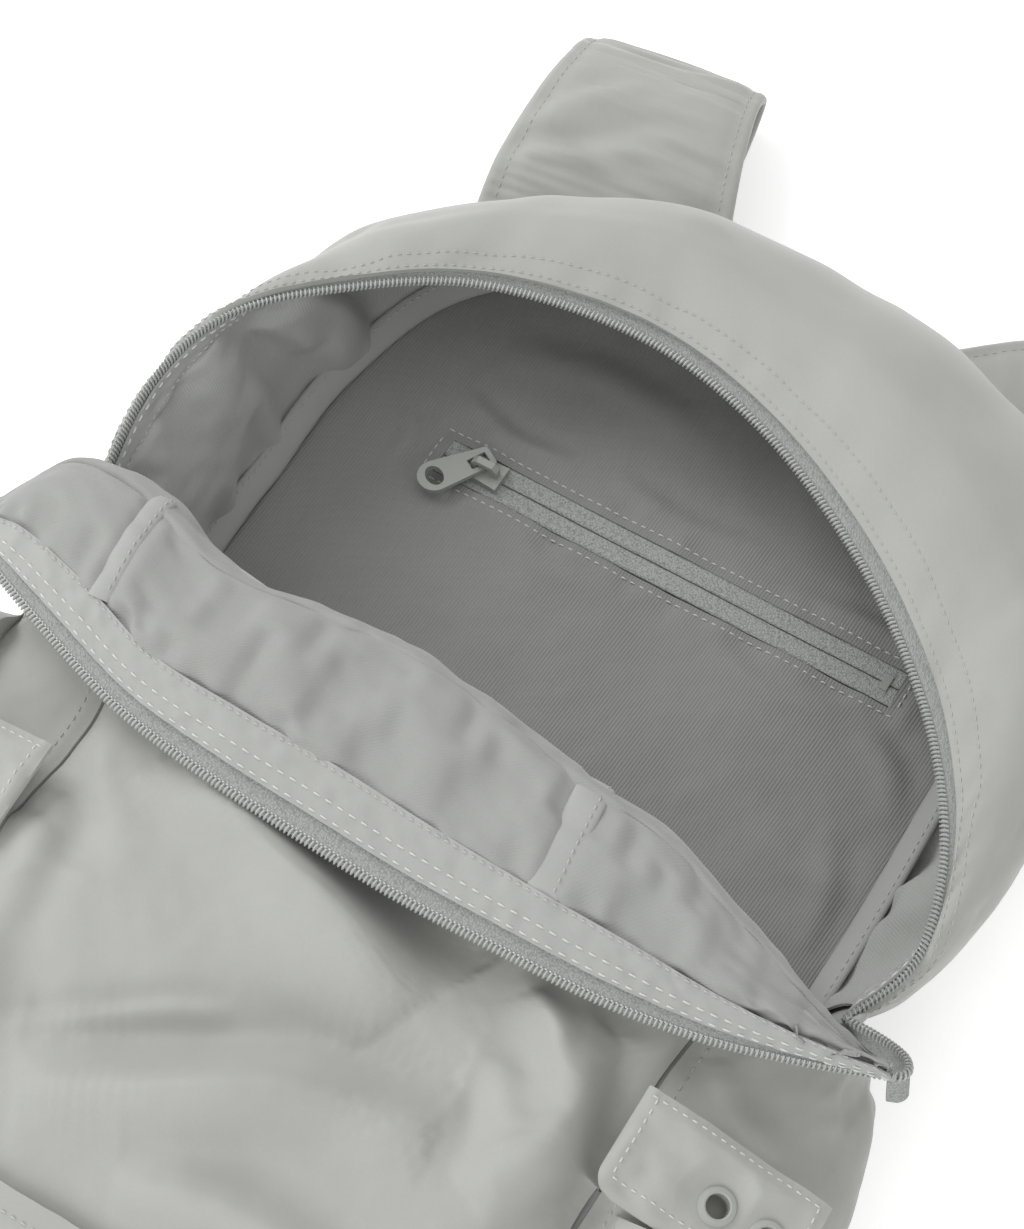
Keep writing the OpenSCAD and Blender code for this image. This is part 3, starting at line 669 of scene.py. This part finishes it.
def back_lining():
    step = 1.5
    x = np.arange(-BACK_W, BACK_W + 0.1, step)
    y = np.arange(BACK_LOW, BACK_TOP + 1.1, step)
    gx, gy = np.meshgrid(x, y, indexing="ij")
    shape = gx.shape
    half_l, half_w = ZIP_L / 2, ZIP_W / 2 - 0.9
    to_slot = np.maximum(abs(gx - ZIP_X) - half_l, abs(gy - ZIP_Y) - half_w)
    height = layers(shape, (0.9, 7, 11, 41), (0.45, 16, 26, 42), (0.12, 60, 100, 43))
    ripple = noise(shape, (34, 44), 44)
    height += 0.75 * ripple * bell(to_slot - 5, 4.5)
    height += 0.35 * bell(to_slot - 0.5, 1.6) - 0.4 * bell(to_slot - 3.4, 0.9)
    height += folds(gx, gy, [
        ([(-72, 132), (-50, 126), (-30, 128)], 3.0, 1.4), ([(-84, 120), (-78, 112), (-80, 100)], 3.0, 1.2),
        ([(-20, 130), (5, 127), (30, 131)], 3.5, 1.0), ([(40, 122), (70, 126), (92, 121)], 3.0, 1.1),
        ([(78, 96), (90, 88), (98, 74)], 4.0, 1.3), ([(30, 96), (50, 92), (72, 96)], 3.5, 0.8),
        ([(-40, 98), (-20, 94), (0, 97)], 3.5, 0.7), ([(84, 66), (92, 48), (94, 30)], 4.0, 1.2),
        ([(-70, 150), (-40, 158), (-5, 154)], 6.0, 1.2), ([(60, 60), (80, 50), (98, 52)], 5.0, 1.0)])
    rim = rounded_out(gx, gy, BACK_W, BACK_LOW, BACK_TOP, 68, 40)
    height = height * ramp(-rim, 8) - 0.1
    points = np.stack([gx, gy, FLOOR_Z + 0.3 + height], axis=-1)
    inside = (rim < -1.0) & ~((abs(gx - ZIP_X) < half_l) & (abs(gy - ZIP_Y) < half_w))
    keep = inside[:-1, :-1] & inside[1:, :-1] & inside[1:, 1:] & inside[:-1, 1:]
    sheet = slab("back_lining_cloth", points, points - (0, 0, 0.7), inner, keep=keep)
    declare(sheet, "lining_twill", "back_panel_lining", "pocket_zip_welt")

    def height_at(px, py):
        i = ((px + BACK_W) / step).round().astype(int)
        j = ((py - BACK_LOW) / step).round().astype(int)
        return points[i, j, 2]

    a, b = half_l + 3.4, half_w + 3.4
    corners = np.array([(-a, b), (a, b), (a, -b), (-a, -b), (-a, b)]) + (ZIP_X, ZIP_Y)
    for k in range(4):
        line = corners[k] + (corners[k + 1] - corners[k]) * span(0, 1, 200)[:, None]
        z = height_at(line[:, 0], line[:, 1])
        z = np.convolve(np.pad(z, 6, mode="edge"), np.ones(13) / 13, mode="valid")
        path = np.column_stack([line, z + 0.1])
        stitches(f"pocket_frame_stitch_{k}", path, UP, thread, pitch=2.9, length=2.0, radius=0.24)


def pocket_zip():
    x = span(ZIP_X - ZIP_L / 2 - 1, ZIP_X + ZIP_L / 2 + 1, 120)
    for side in (1, -1):
        path = np.column_stack([x, np.full(121, ZIP_Y + side * 3.05), np.full(121, FLOOR_Z - 0.25)])
        path[:, 2] += 0.15 * np.sin(x / 9)
        strip = sweep("pocket_tape_" + ("high" if side > 0 else "low"), path, UP, oval(5.8, 1.5, 20, 4.0),
                pocket_tape)
        if side > 0:
            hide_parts("pocket_zip_tapes")


back_lining()
pocket_zip()


# ---- Pouch ----

ROWS = [(-30, 108, 138, 38, 122, 57, 63, 61), (-65, 108, 142, 38, 124, 59, 66, 66),
        (-110, 108, 141, 38, 122, 57, 64, 66), (-150, 107, 136, 36, 116, 51, 58, 60),
        (-180, 98, 122, 33, 104, 43, 49, 51), (-198, 84, 104, 28, 88, 34, 38, 40)]
MOUTH = [(-108, -5.5, FOOT_Z), (-125, -6, 38), (-120, -4, 57), (-92, 24, 75), (-46, 21, 81), (0, 18, 82),
         (46, 12, 81), (92, 2, 75), (123, 1, 54), (124, 8, 34), (108, 14.5, FOOT_Z)]
BASE = [(x, -200, FOOT_Z) for x in span(-70, 70, 10)]
SEAM_X, SEAM_U, BOTTOM_V = 88, 0.3, 0.86


def pouch_row(y, foot, bulge, bulge_z, shoulder, shoulder_z, seam_z, middle_z):
    half = [(foot, FOOT_Z), (bulge, bulge_z), (shoulder, shoulder_z), (min(SEAM_X, shoulder - 8), seam_z),
            (44, (seam_z + middle_z) / 2)]
    return [(-x, y, z) for x, z in half] + [(0, y, middle_z)] + [(x, y, z) for x, z in half[::-1]]


POUCH = [MOUTH] + [pouch_row(*row) for row in ROWS] + [BASE]


def soft_pouch():
    """The pouch's outer face, as one grid, filled out and creased."""
    base = loft(POUCH, span(0, 1, 70), span(0, 1, 50))[::-1]
    pins = edges_pinned(base.shape)
    for column in (21, 49):
        pins[column, :43] = np.maximum(pins[column, :43], 0.6)
    base = drape(base, pins, 0.02, 0.25, 5, seed=9)
    return refine(base, 400, 280)


def pouch():
    skin = soft_pouch()
    up = normals(skin)
    shape = skin.shape
    u, v = span(0, 1, 400)[:, None], span(0, 1, 280)[None]
    height = layers(shape, (1.2, 14, 9, 51), (0.6, 30, 22, 52), (0.12, 110, 80, 53))
    for seam in (SEAM_U, 1 - SEAM_U):
        height += -1.3 * bell(u - seam, 0.005) + 0.5 * noise(shape, (3, 40), 54) * bell(u - seam, 0.03)
    height += folds(skin[..., 0], skin[..., 1], [
        ([(-62, -22), (-30, -33), (0, -42), (26, -54)], 13, 11),
        ([(50, -30), (68, -46), (72, -68), (64, -86)], 8, 8),
        ([(-44, -118), (-10, -100), (18, -84), (50, -78)], 10, 10),
        ([(-56, -106), (-28, -84), (-10, -74)], 2.6, 1.7),
        ([(-80, -46), (-76, -64), (-72, -86)], 5, 1.8), ([(66, -84), (60, -62), (50, -50)], 5, 2.2),
        ([(-86, -84), (-70, -100), (-62, -124)], 8, 2.6), ([(44, -30), (58, -37), (64, -48)], 3.5, 1.8),
        ([(-10, -126), (20, -116), (60, -118)], 6, 3.5), ([(100, -70), (112, -96), (110, -134)], 7, 2.6),
        ([(-112, -40), (-104, -84), (-112, -120)], 7, 2.6), ([(96, -22), (104, -34), (120, -38)], 5, 2.4)])
    height *= ramp(v, 0.05) * ramp(u, 0.04) * ramp(1 - u, 0.04) * ramp(1 - v, 0.05)
    skin = skin + up * height[..., None]
    thick = skin - up * 2.0
    gap = 0.0012
    parts = {"front_panel": (SEAM_U, 1 - SEAM_U, 0, BOTTOM_V), "side_panel_right": (0, SEAM_U, 0, BOTTOM_V),
             "side_panel_left": (1 - SEAM_U, 1, 0, BOTTOM_V), "bottom_panel": (0, 1, BOTTOM_V, 1)}
    for name, (u0, u1, v0, v1) in parts.items():
        u0, u1 = (u0 + gap if u0 else 0), (u1 - gap if u1 < 1 else 1)
        v0, v1 = (v0 + gap if v0 else 0), (v1 - gap if v1 < 1 else 1)
        where = (u0, u1, v0, v1, int(400 * (u1 - u0)), int(280 * (v1 - v0)))
        cut = slab(name + "_cloth", part_of(skin, *where), part_of(thick, *where), outer)
        declare(cut, "outer_cloth", name, fill=0.35)
    where = (0.01, 0.99, 0.0, 0.99, 260, 160)
    join = slab("pouch_lining_cloth", part_of(skin - up * 1.4, *where), part_of(skin - up * 4.0, *where),
                inner)
    declare(join, "lining_twill", "pouch_lining")
    for k, seam in enumerate((SEAM_U - 0.011, 1 - SEAM_U + 0.011)):
        stitch_row(f"side_seam_stitch_{k}", skin, seam, (0.0, BOTTOM_V - 0.005), 700, dull_thread)
    stitch_row("bottom_seam_stitch", skin, (0.05, 0.95), BOTTOM_V + 0.012, 700, dull_thread)
    return skin


def patch(skin, name, node, u0, u1, v0, v1, puff, seed):
    """A patch pocket on the pouch, a little full at its mouth."""
    base = part_of(skin, u0, u1, v0, v1, 90, 90)
    calm = base.copy()
    for _ in range(16):
        calm[1:-1, 1:-1] = (calm[:-2, 1:-1] + calm[2:, 1:-1] + calm[1:-1, :-2] + calm[1:-1, 2:]) / 4
    up = normals(calm)
    u, v = span(0, 1, 90)[:, None], span(0, 1, 90)[None]
    bulge = np.sin(pi * u) ** 0.6 * (1 - v) ** 0.5
    height = 1.0 + puff * bulge
    height = height + 0.5 * noise((91, 91), (8, 8), seed) * np.sin(pi * u) * np.clip(1 - v, 0, 1)
    height *= np.clip(np.minimum(np.minimum(u, 1 - u), 1 - v) / 0.02, 0.25, 1)
    height += 0.5 * (v < 0.09)
    top = base + up * height[..., None]
    pocket = slab(name, top, top - up * 1.1, outer)
    declare(pocket, "outer_cloth", node)
    for k, row in enumerate((0.06, 0.13)):
        stitch_row(f"{name}_hem_stitch_{k}", top, (0.02, 0.98), row, 300, dull_thread)
    for k, column in enumerate((0.025, 0.975)):
        stitch_row(f"{name}_side_stitch_{k}", top, column, (0.02, 0.97), 300, dull_thread)
    return pocket


skin = pouch()
front = patch(skin, "front_pocket_cloth", "front_pocket", SEAM_U + 0.012, 0.988 - SEAM_U, 0.515,
              BOTTOM_V - 0.01, 2.0, 61)
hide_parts("front_pocket_hem")
patch(skin, "side_pocket_left_cloth", "side_pocket_left", 0.715, 0.9, 0.3, 0.74, 3.0, 62)
patch(skin, "side_pocket_right_cloth", "side_pocket_right", 0.1, SEAM_U - 0.015, 0.3, 0.74, 3.0, 63)


# ---- Cuff ----

CREST = [(-141, 14, 68), (-128, 29, 77), (-104, 28, 83), (-74, 18, 85), (-46, 20, 87), (-20, 21, 88),
         (8, 18, 88), (35, 14, 87), (62, 11, 85), (88, 3, 81), (112, -4, 75), (131, -7, 69)]
ZIP_FRONT = [(-142, 0, 70), (-124, -9, 75), (-100, -18, 76), (-76, -25, 76), (-48, -29, 76), (-18, -31, 76),
             (11, -32, 76), (39, -31, 76), (66, -29, 75), (91, -24, 74), (114, -16, 73), (134, -7, 71)]
LEFT_U, RIGHT_U = 0.2, 0.65
CUFF_EDGE = 0.87
CUFF_FACING = 0.63


def cuff_grid(v0, v1, nu, nv):
    """The cuff from crest to zip, with its upper side along the grid's normals."""
    u, v = span(0, 1, nu), span(v0, v1, nv)
    high, low = spline(CREST, u)[:, None], spline(ZIP_FRONT, u)[:, None]
    t = v[None, :, None]
    return (high * (1 - t) + low * t + (0, 0, 4.0) * np.sin(pi * t))[::-1]


def cuff():
    top = cuff_grid(0.0, CUFF_FACING + 0.03, 60, 10) + (0, 0, 1.2)
    pins = edges_pinned(top.shape)
    for seam in (LEFT_U, RIGHT_U):
        pins[round((1 - seam) * 60)] = 1
    top = drape(top, pins, 0.04, 0.9, 7, seed=17)
    top = refine(top, 480, 96)
    up = normals(top)
    shape = top.shape
    height = layers(shape, (0.9, 14, 3, 71), (0.3, 40, 8, 72))
    height += puckers(top, 1.0, 0.2, 0.8, 73)
    across = 1 - span(0, 1, 480)[:, None]
    for seam in (LEFT_U, RIGHT_U):
        height -= 0.8 * bell(across - seam, 0.014)
    top = top + up * height[..., None]
    for name, u0, u1 in (("left", 0, LEFT_U), ("centre", LEFT_U, RIGHT_U), ("right", RIGHT_U, 1)):
        a, b = 1 - u1 + 0.003, 1 - u0 - 0.003
        where = (a, b, 0, 1, int(480 * (b - a)), 96)
        piece = slab(f"cuff_{name}_cloth", part_of(top, *where), part_of(top - up * 0.8, *where),
                cuff_lining, "cuff")
        declare(piece, "lining_twill", f"cuff_lining_{name}", fill=0.4)
    for name, seam, width, height in (("left", LEFT_U, 6.4, 2.6), ("right", RIGHT_U, 9.0, 1.8)):
        path, facing_up = line_on(top, np.full(81, 1 - seam), span(0.0, 0.97, 80))
        over = path[0] + np.array([(0, 3.4, -4.2), (0, 3.2, -2.8), (0, 2.4, -1.2), (0, 1.2, -0.3)])
        path = np.concatenate([over, path])
        lean = facing_up[0] * 0.3 + np.array([(0, 1, 0.0), (0, 1, 0.1), (0, 1, 0.3), (0, 0.6, 0.8)])
        facing_up = unit(np.concatenate([lean, facing_up]))
        rise = 0.5
        roll = sweep(f"cuff_binding_{name}", path + facing_up * rise, facing_up, oval(width, height, 18, 2.3),
                facing, "cuff")
        declare(roll, "lining_twill", f"binding_front_{name}")
        side = unit(np.cross(unit(np.gradient(path, axis=0)), facing_up))
        offset = 2.4 if name == "right" else 1.6
        path = path + facing_up * (rise + height / 2 - 0.15) - side * offset
        stitches(f"cuff_binding_stitch_{name}", path, facing_up, dull_thread, "cuff", pitch=2.6, length=1.8)

    strip = refine(cuff_grid(CUFF_FACING, CUFF_EDGE, 120, 6), 480, 24)
    up = normals(strip)
    height = 2.2 + 0.35 * noise(strip.shape, (90, 4), 75) + puckers(strip, 0.12, 0.3, 0.5, 76)
    strip = strip + up * height[..., None]
    band = slab("cuff_facing_strip", strip, strip - up * 0.9, facing, "cuff")
    declare(band, "lining_twill", "cuff_facing")
    for k, (row, material) in enumerate(((0.1, dull_thread), (0.62, thread), (0.9, thread))):
        stitch_row(f"cuff_stitch_{k}", strip, (0.003, 0.997), row, 900, material, "cuff",
                pitch=3.6 if k else 2.6, length=2.4 if k else 1.7)

    under = refine(cuff_grid(0.0, CUFF_EDGE, 120, 16), 240, 48)
    down = -normals(under)
    bulge = 2.0 + 1.0 * noise(under.shape, (24, 4), 77)[..., None]
    shell = slab("cuff_outer", under - normals(under) * 0.5, under + down * bulge, outer, "cuff")
    declare(shell, "outer_cloth", "cuff_shell")


def front_zip():
    strip = cuff_grid(CUFF_EDGE - 0.05, 0.975, 240, 6)
    zip_half("front", strip, 0.9, 0.2, 0.6, "cuff")
    up = normals(strip)
    for k, row in enumerate((0.86, 0.97)):
        stitch_row(f"front_zip_chain_{k}", strip + up * 0.9, (0, 1), row, 240, thread, "cuff",
                pitch=COIL_PITCH, length=1.05, radius=0.25)


cuff()
front_zip()


# ---- Metal parts, with the frame's own shapes ----

def bevel(names, width):
    for name in names:
        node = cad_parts[name]
        node.data.materials.clear()
        node.data.materials.append(paint)
        edge = node.modifiers.new("bevel", "BEVEL")
        edge.width = width * MM
        edge.segments = 3
        edge.limit_method = "ANGLE"
        edge.angle_limit = radians(35)
        for polygon in node.data.polygons:
            polygon.use_smooth = False


bevel(["pocket_slider", "pocket_puller", "main_slider", "main_puller", "pocket_zip_stops"], 0.35)
bevel(["strap_slider", "strap_ring"], 0.5)
bevel(["eyelets_left", "eyelets_right"], 0.15)


# ---- Flaps, strap, back and the closed end of the zip ----

FLAP_L, FLAP_W = 52, 28
EYELETS, EYELET_Y = (28, 42), -15.5
FLAP_AT = (86, -40, 73.4)


def flap(side):
    """A puffy flap sewn along its upper edge, with a folded hem and two eyelets."""
    y = -span(0, FLAP_W, 35)[None]
    in_from_side = 6 - np.sqrt(np.clip(36 - np.minimum(y + 22, 0) ** 2, 0, 36))
    x = in_from_side + (FLAP_L - 2 * in_from_side) * span(0, 1, 65)[:, None]
    y = np.broadcast_to(y, x.shape)
    to_eyelet = np.minimum(*(np.hypot(x - at, y - EYELET_Y) for at in EYELETS))
    edge = np.minimum(np.minimum(x, FLAP_L - x), y + FLAP_W)
    puff = 2.2 * np.sin(pi * ramp(x, FLAP_L)) ** 0.7 * ramp(-y, 4) * ramp(y + 24, 10)
    puff += layers(x.shape, (1.1, 7, 4, 81), (0.4, 16, 8, 82))
    puff *= ramp(to_eyelet - 5.5, 5)
    height = 2.4 + puff * ramp(edge, 3) - 1.2 * bell(edge, 1.1)
    keep = (to_eyelet[:-1, :-1] + to_eyelet[1:, 1:]) / 2 > 4.1
    a, b = radians(3), radians(15)
    turn_x = np.array([[1, 0, 0], [0, cos(a), -sin(a)], [0, sin(a), cos(a)]])
    turn_y = np.array([[cos(b), 0, sin(b)], [0, 1, 0], [-sin(b), 0, cos(b)]])
    turn = turn_y @ turn_x
    mirror = np.array([side, 1, 1])
    name = "left" if side < 0 else "right"

    def placed(z):
        return (np.stack([x, y, z + 0 * x], axis=-1) @ turn.T + FLAP_AT) * mirror

    top = placed(height)
    body = "flap_" + name
    cloth_piece = slab(f"flap_{name}_cloth", top, placed(0.2), outer, body, keep)
    declare(cloth_piece, "outer_cloth", f"flap_{name}", fill=0.4)
    out = (turn @ UP) * mirror
    rows = {"hem": ((0.06, 0.94), 0.84), "seam": ((0.03, 0.97), 0.07),
            "inner": (0.06, (0.07, 0.84)), "outer": (0.94, (0.07, 0.84))}
    for key, (u, v) in rows.items():
        stitch_row(f"flap_{name}_{key}_stitch", top, u, v, 200, thread, body, out, pitch=2.7, radius=0.22)


WEB_X = 203
STRAP = [(-66, 200, 12.0, 7, 40), (-70, 216, 18, 7, 38), (-75, 241, 20.5, 7, 34), (-78, 261, 18, 8, 31),
         (-79, 270, 11.6, 9, 30.5), (-78, 262, 5.2, 9, 30.5), (-74, 240, 4.4, 7, 30.5), (-66, 206, 4, 4, 30),
         (-52, 170, 4, 30, 30), (-18, 144, 4, 70, 30), (20, 156, 4, 118, 30), (52, 196, 4, 128, 30),
         (86, 224, 4, 118, 30), (126, 236, 5, 92, 30), (172, 218, 6, 45, 30), (198, 174, 6, 12, 29),
         (WEB_X, 130, 6, 0, 27), (WEB_X, 94, 6, 0, 24), (WEB_X, 74, 6, 0, 21)]


def strap():
    at = spline(STRAP, span(0, 1, 640))
    path, bearing, half = at[:, :3], np.radians(at[:, 3]), at[:, 4]
    side = np.stack([np.cos(bearing), np.sin(bearing), 0 * bearing], axis=1)
    rise = unit(np.cross(side, unit(np.gradient(path, axis=0))))
    around = oval(2, 2, 56, 3.0)
    wide, high = around[:, 0][None, :, None], around[:, 1][None, :, None]
    s = span(0, 1, 640)[:, None]
    pull = 0.55 * bell(abs(around[:, 0]) - 0.86, 0.05)[None, :, None]
    points = path[:, None] + side[:, None] * wide * half[:, None, None]
    points = points + rise[:, None] * high * (3.4 - 2.2 * pull)
    bumps = layers(points.shape, (0.55, 90, 8, 91), (0.3, 220, 14, 92))
    bumps += 0.25 * (noise(points.shape, (260, 6), 93) * bell(abs(around[:, 0]) - 0.9, 0.12)[None])
    near = (s < 0.16) * (around[:, 1] > 0)[None]
    bumps += near * folds(points[..., 0], points[..., 1], [
        ([(-103, 208), (-93, 217), (-74, 218)], 3.4, 2.0), ([(-89, 216), (-68, 229), (-41, 224)], 4.5, 2.6),
        ([(-78, 233), (-60, 239), (-39, 236)], 3.2, 1.6), ([(-106, 221), (-94, 237), (-80, 251)], 3.5, 1.5),
        ([(-60, 210), (-40, 214), (-28, 212)], 3.2, 1.8), ([(-72, 254), (-56, 262), (-44, 262)], 3.5, 1.0)])
    bumps += (around[:, 1] > 0)[None] * 0.9 * noise(points.shape, (46, 4), 94)
    bumps = bumps * np.sign(around[:, 1]) * np.clip(1 - abs(around[:, 0]) ** 6, 0.2, 1)
    points += rise[:, None] * bumps[..., None]
    points[..., 2] = np.maximum(points[..., 2], 0.25)
    skin = tube("strap_skin", points[:, ::-1], outer)
    declare(skin, "outer_cloth", "strap_cover", "strap_foam", fill=0.6)
    for k, share in enumerate((-0.86, 0.86)):
        for face, sign in (("up", 1), ("down", -1)):
            nearest = np.argmin(abs(around[:, 0] - share) + 9 * (around[:, 1] * sign < 0))
            stitches(f"strap_stitch_{face}_{k}", points[3:-3, nearest], rise[3:-3] * sign, dull_thread,
                    pitch=2.9, length=2.0, radius=0.22)


def ribbed(width, ribs, thick=1.35):
    """Profile of woven webbing: flat, with fine ribs along it."""
    x = span(-width / 2, width / 2, 59)
    y = thick / 2 - 0.16 * (0.5 + 0.5 * np.cos(2 * pi * ribs * (x / width + 0.5)))
    y = np.minimum(y, thick * 0.15 + (width / 2 - abs(x)) * 1.2)
    return np.concatenate([np.stack([x[::-1], y[::-1]], axis=1), np.stack([x, -y], axis=1)])


def web():
    turn = np.linspace(0.1, pi - 0.1, 20)
    y = np.concatenate([span(74, -121, 120), -122 - 3 * np.sin(turn), span(-121, 40, 90)])
    z = np.concatenate([np.full(121, 2.6), 5.6 - 3.0 * np.cos(turn), np.full(91, 8.6)])
    path = np.stack([WEB_X + 0 * y, y, z], axis=1)
    tangent = unit(np.gradient(path, axis=0))
    up = np.stack([0 * y, -tangent[:, 2], tangent[:, 1]], axis=1)
    strip = sweep("strap_web", path, up, ribbed(38, 14), webbing)
    declare(strip, "webbing", "strap_webbing")
    tab_at = spline([(107, -159, 16.9, -90), (140, -167, 11, -80), (174, -167, 6.6, -52),
            (197, -153, 5.6, -20), (WEB_X, -137.4, 5.6, 0)], span(0, 1, 80))
    bearing = np.radians(tab_at[:, 3])
    side = np.stack([np.cos(bearing), np.sin(bearing), 0 * bearing], axis=1)
    profile = ribbed(32, 12)
    rise = unit(np.cross(side, unit(np.gradient(tab_at[:, :3], axis=0))))
    points = tab_at[:, None, :3] + side[:, None] * profile[:, :1] + rise[:, None] * profile[:, 1:]
    tab = tube("ring_tab_web", points, webbing)
    declare(tab, "webbing", "ring_tab")


BACK_SHAPE = (108, -199, 194, 42, 70)


def back():
    section = [(60, 9.4), (12, 9.4), (1.5, 9.9), (0, 12), (0, 14.2), (2, 15.6), (9, 15.4), (13, 12.6),
               (60, 12.6)]
    panel = pad("back_pad", BACK_SHAPE, section, outer, 101)
    declare(panel, "outer_cloth", "back_panel_shell", "back_panel_foam", fill=0.7)
    rim = np.roll(rounded_rim(*BACK_SHAPE, 0.8), -122, axis=0)
    rim = np.column_stack([rim, np.full(len(rim), 16.2)])
    path, facing_up = resample(np.concatenate([rim, rim[:1]]), UP, 2.0)
    welt = sweep("back_seam_welt", path, facing_up, oval(3.6, 7.4, 16), outer)
    section = [(50, 0.0), (7, 0.0), (1.4, 1.2), (0, 4), (0.6, 7.4), (3, 9.2), (50, 9.2)]
    cushion = pad("back_cushion", (86, -178, 62, 26, 26), section, outer, 102, 0.3)
    declare(cushion, "outer_cloth", "back_cushion_cover", "back_cushion_foam", fill=0.8)
    section = [(50, 13.0), (3, 13.0), (0, 13.6), (3, 14.6), (50, 14.6)]
    bag = pad("pocket_bag_cloth", (75, 8, 116, 8, 8), section, inner, 103)
    bag.data.transform(Matrix.Translation((ZIP_X * MM, 0, 0)))
    declare(bag, "lining_twill", "pocket_bag")


CHAIN_X, CHAIN_Z = -148.5, 46


def closed_chain():
    """The zip's closed end on the left side, and the turn of its tape at the mouth's right-hand corner."""
    y = span(-5, -74, 60)
    out = np.clip(np.minimum((-5 - y) / 9, (y + 74) / 15), 0, 1)
    out = out * out * (3 - 2 * out)
    shape = np.array([(-124, 62), (-136, 60), (-145.6, 56), (-147.4, 53), (-147.4, CHAIN_Z), (-147.4, 39),
            (-145.6, 36), (-138, 31), (-126, 29), (-124, 45)])
    shape = spline(np.concatenate([shape, shape[:1]]), span(0, 1, 60))[:-1]
    rings = np.stack([-124 + (shape[:, 0] + 124)[None] * out[:, None], np.repeat(y[:, None], 60, 1),
            CHAIN_Z + (shape[:, 1] - CHAIN_Z)[None] * (0.4 + 0.6 * out[:, None])], axis=-1)
    rings[..., 0] -= 0.6 * noise(rings.shape, (9, 6), 121) * out[:, None] * (abs(shape[:, 1] - CHAIN_Z) > 8)
    placket = tube("zip_placket", rings, outer)
    y = span(-14, -58, 120)
    path = np.stack([0 * y + CHAIN_X, y, 0 * y + CHAIN_Z], axis=1)
    out = np.array([-1.0, 0, 0])
    woven = sweep("closed_tape", path, out, oval(16, 1.2, 20, 5.0), tape)
    declare(woven, "zip_tape", "main_zip_end")
    for k, z in enumerate((-1.15, 1.15)):
        teeth = coil(f"closed_coil_{k}", path + (-0.5, 0, z), out, radius=1.0, wire=0.3)
    line = spline([(133, -8, 71), (135.8, -6.5, 70.5), (136.6, -3.5, 69), (134, 0, 66), (127, 3, 61),
            (117, 5, 56)], span(0, 1, 90))
    across = np.stack([0.25 + 0 * line[:, 0], -0.35 * np.ones(91), -0.9 * np.ones(91)], axis=1)
    sheet = line[:, None] + (8 - span(0, 8, 8))[None, :, None] * across[:, None]
    out = normals(sheet)
    turn = slab("turned_tape", sheet + out * 0.5, sheet - out * 0.5, tape)
    declare(turn, "zip_tape", "zip_turn")
    teeth = coil("turned_coil", sheet[:, -1] + (0, 0, 0.6), out[:, -1])


def mouth_roll():
    """The lining that rolls over the cuff's crest, down into the bag."""
    u = span(0, 1, 240)
    crest = spline(CREST, u)
    hang = np.clip(np.minimum(u, 1 - u) / 0.14, 0.12, 1)[:, None]
    rows = [crest + (0, -8, -6.5) * hang, crest + (0, -1, 0.8), crest + (0, 2.2, 0.6)]
    for width, y, z in ((0.985, 5.0, -4), (0.95, 7.6, -12), (0.9, 6.2, -24)):
        rows.append(crest * (width, 1, 1) + (0, y, z) * hang)
    roll = spline(np.stack(rows), span(0, 1, 48)).transpose(1, 0, 2)
    facing_up = normals(roll)
    if facing_up[120, 2, 2] < 0:
        facing_up = -facing_up
    shape = roll.shape
    height = layers(shape, (0.7, 26, 3, 111), (0.3, 70, 6, 112)) * ramp(span(0, 1, 48), 0.25)
    roll = roll + facing_up * height[..., None]
    piece = slab("mouth_roll", roll, roll - facing_up * 0.9, cuff_lining)


flap(-1)
flap(1)
strap()
web()
back()
closed_chain()
mouth_roll()
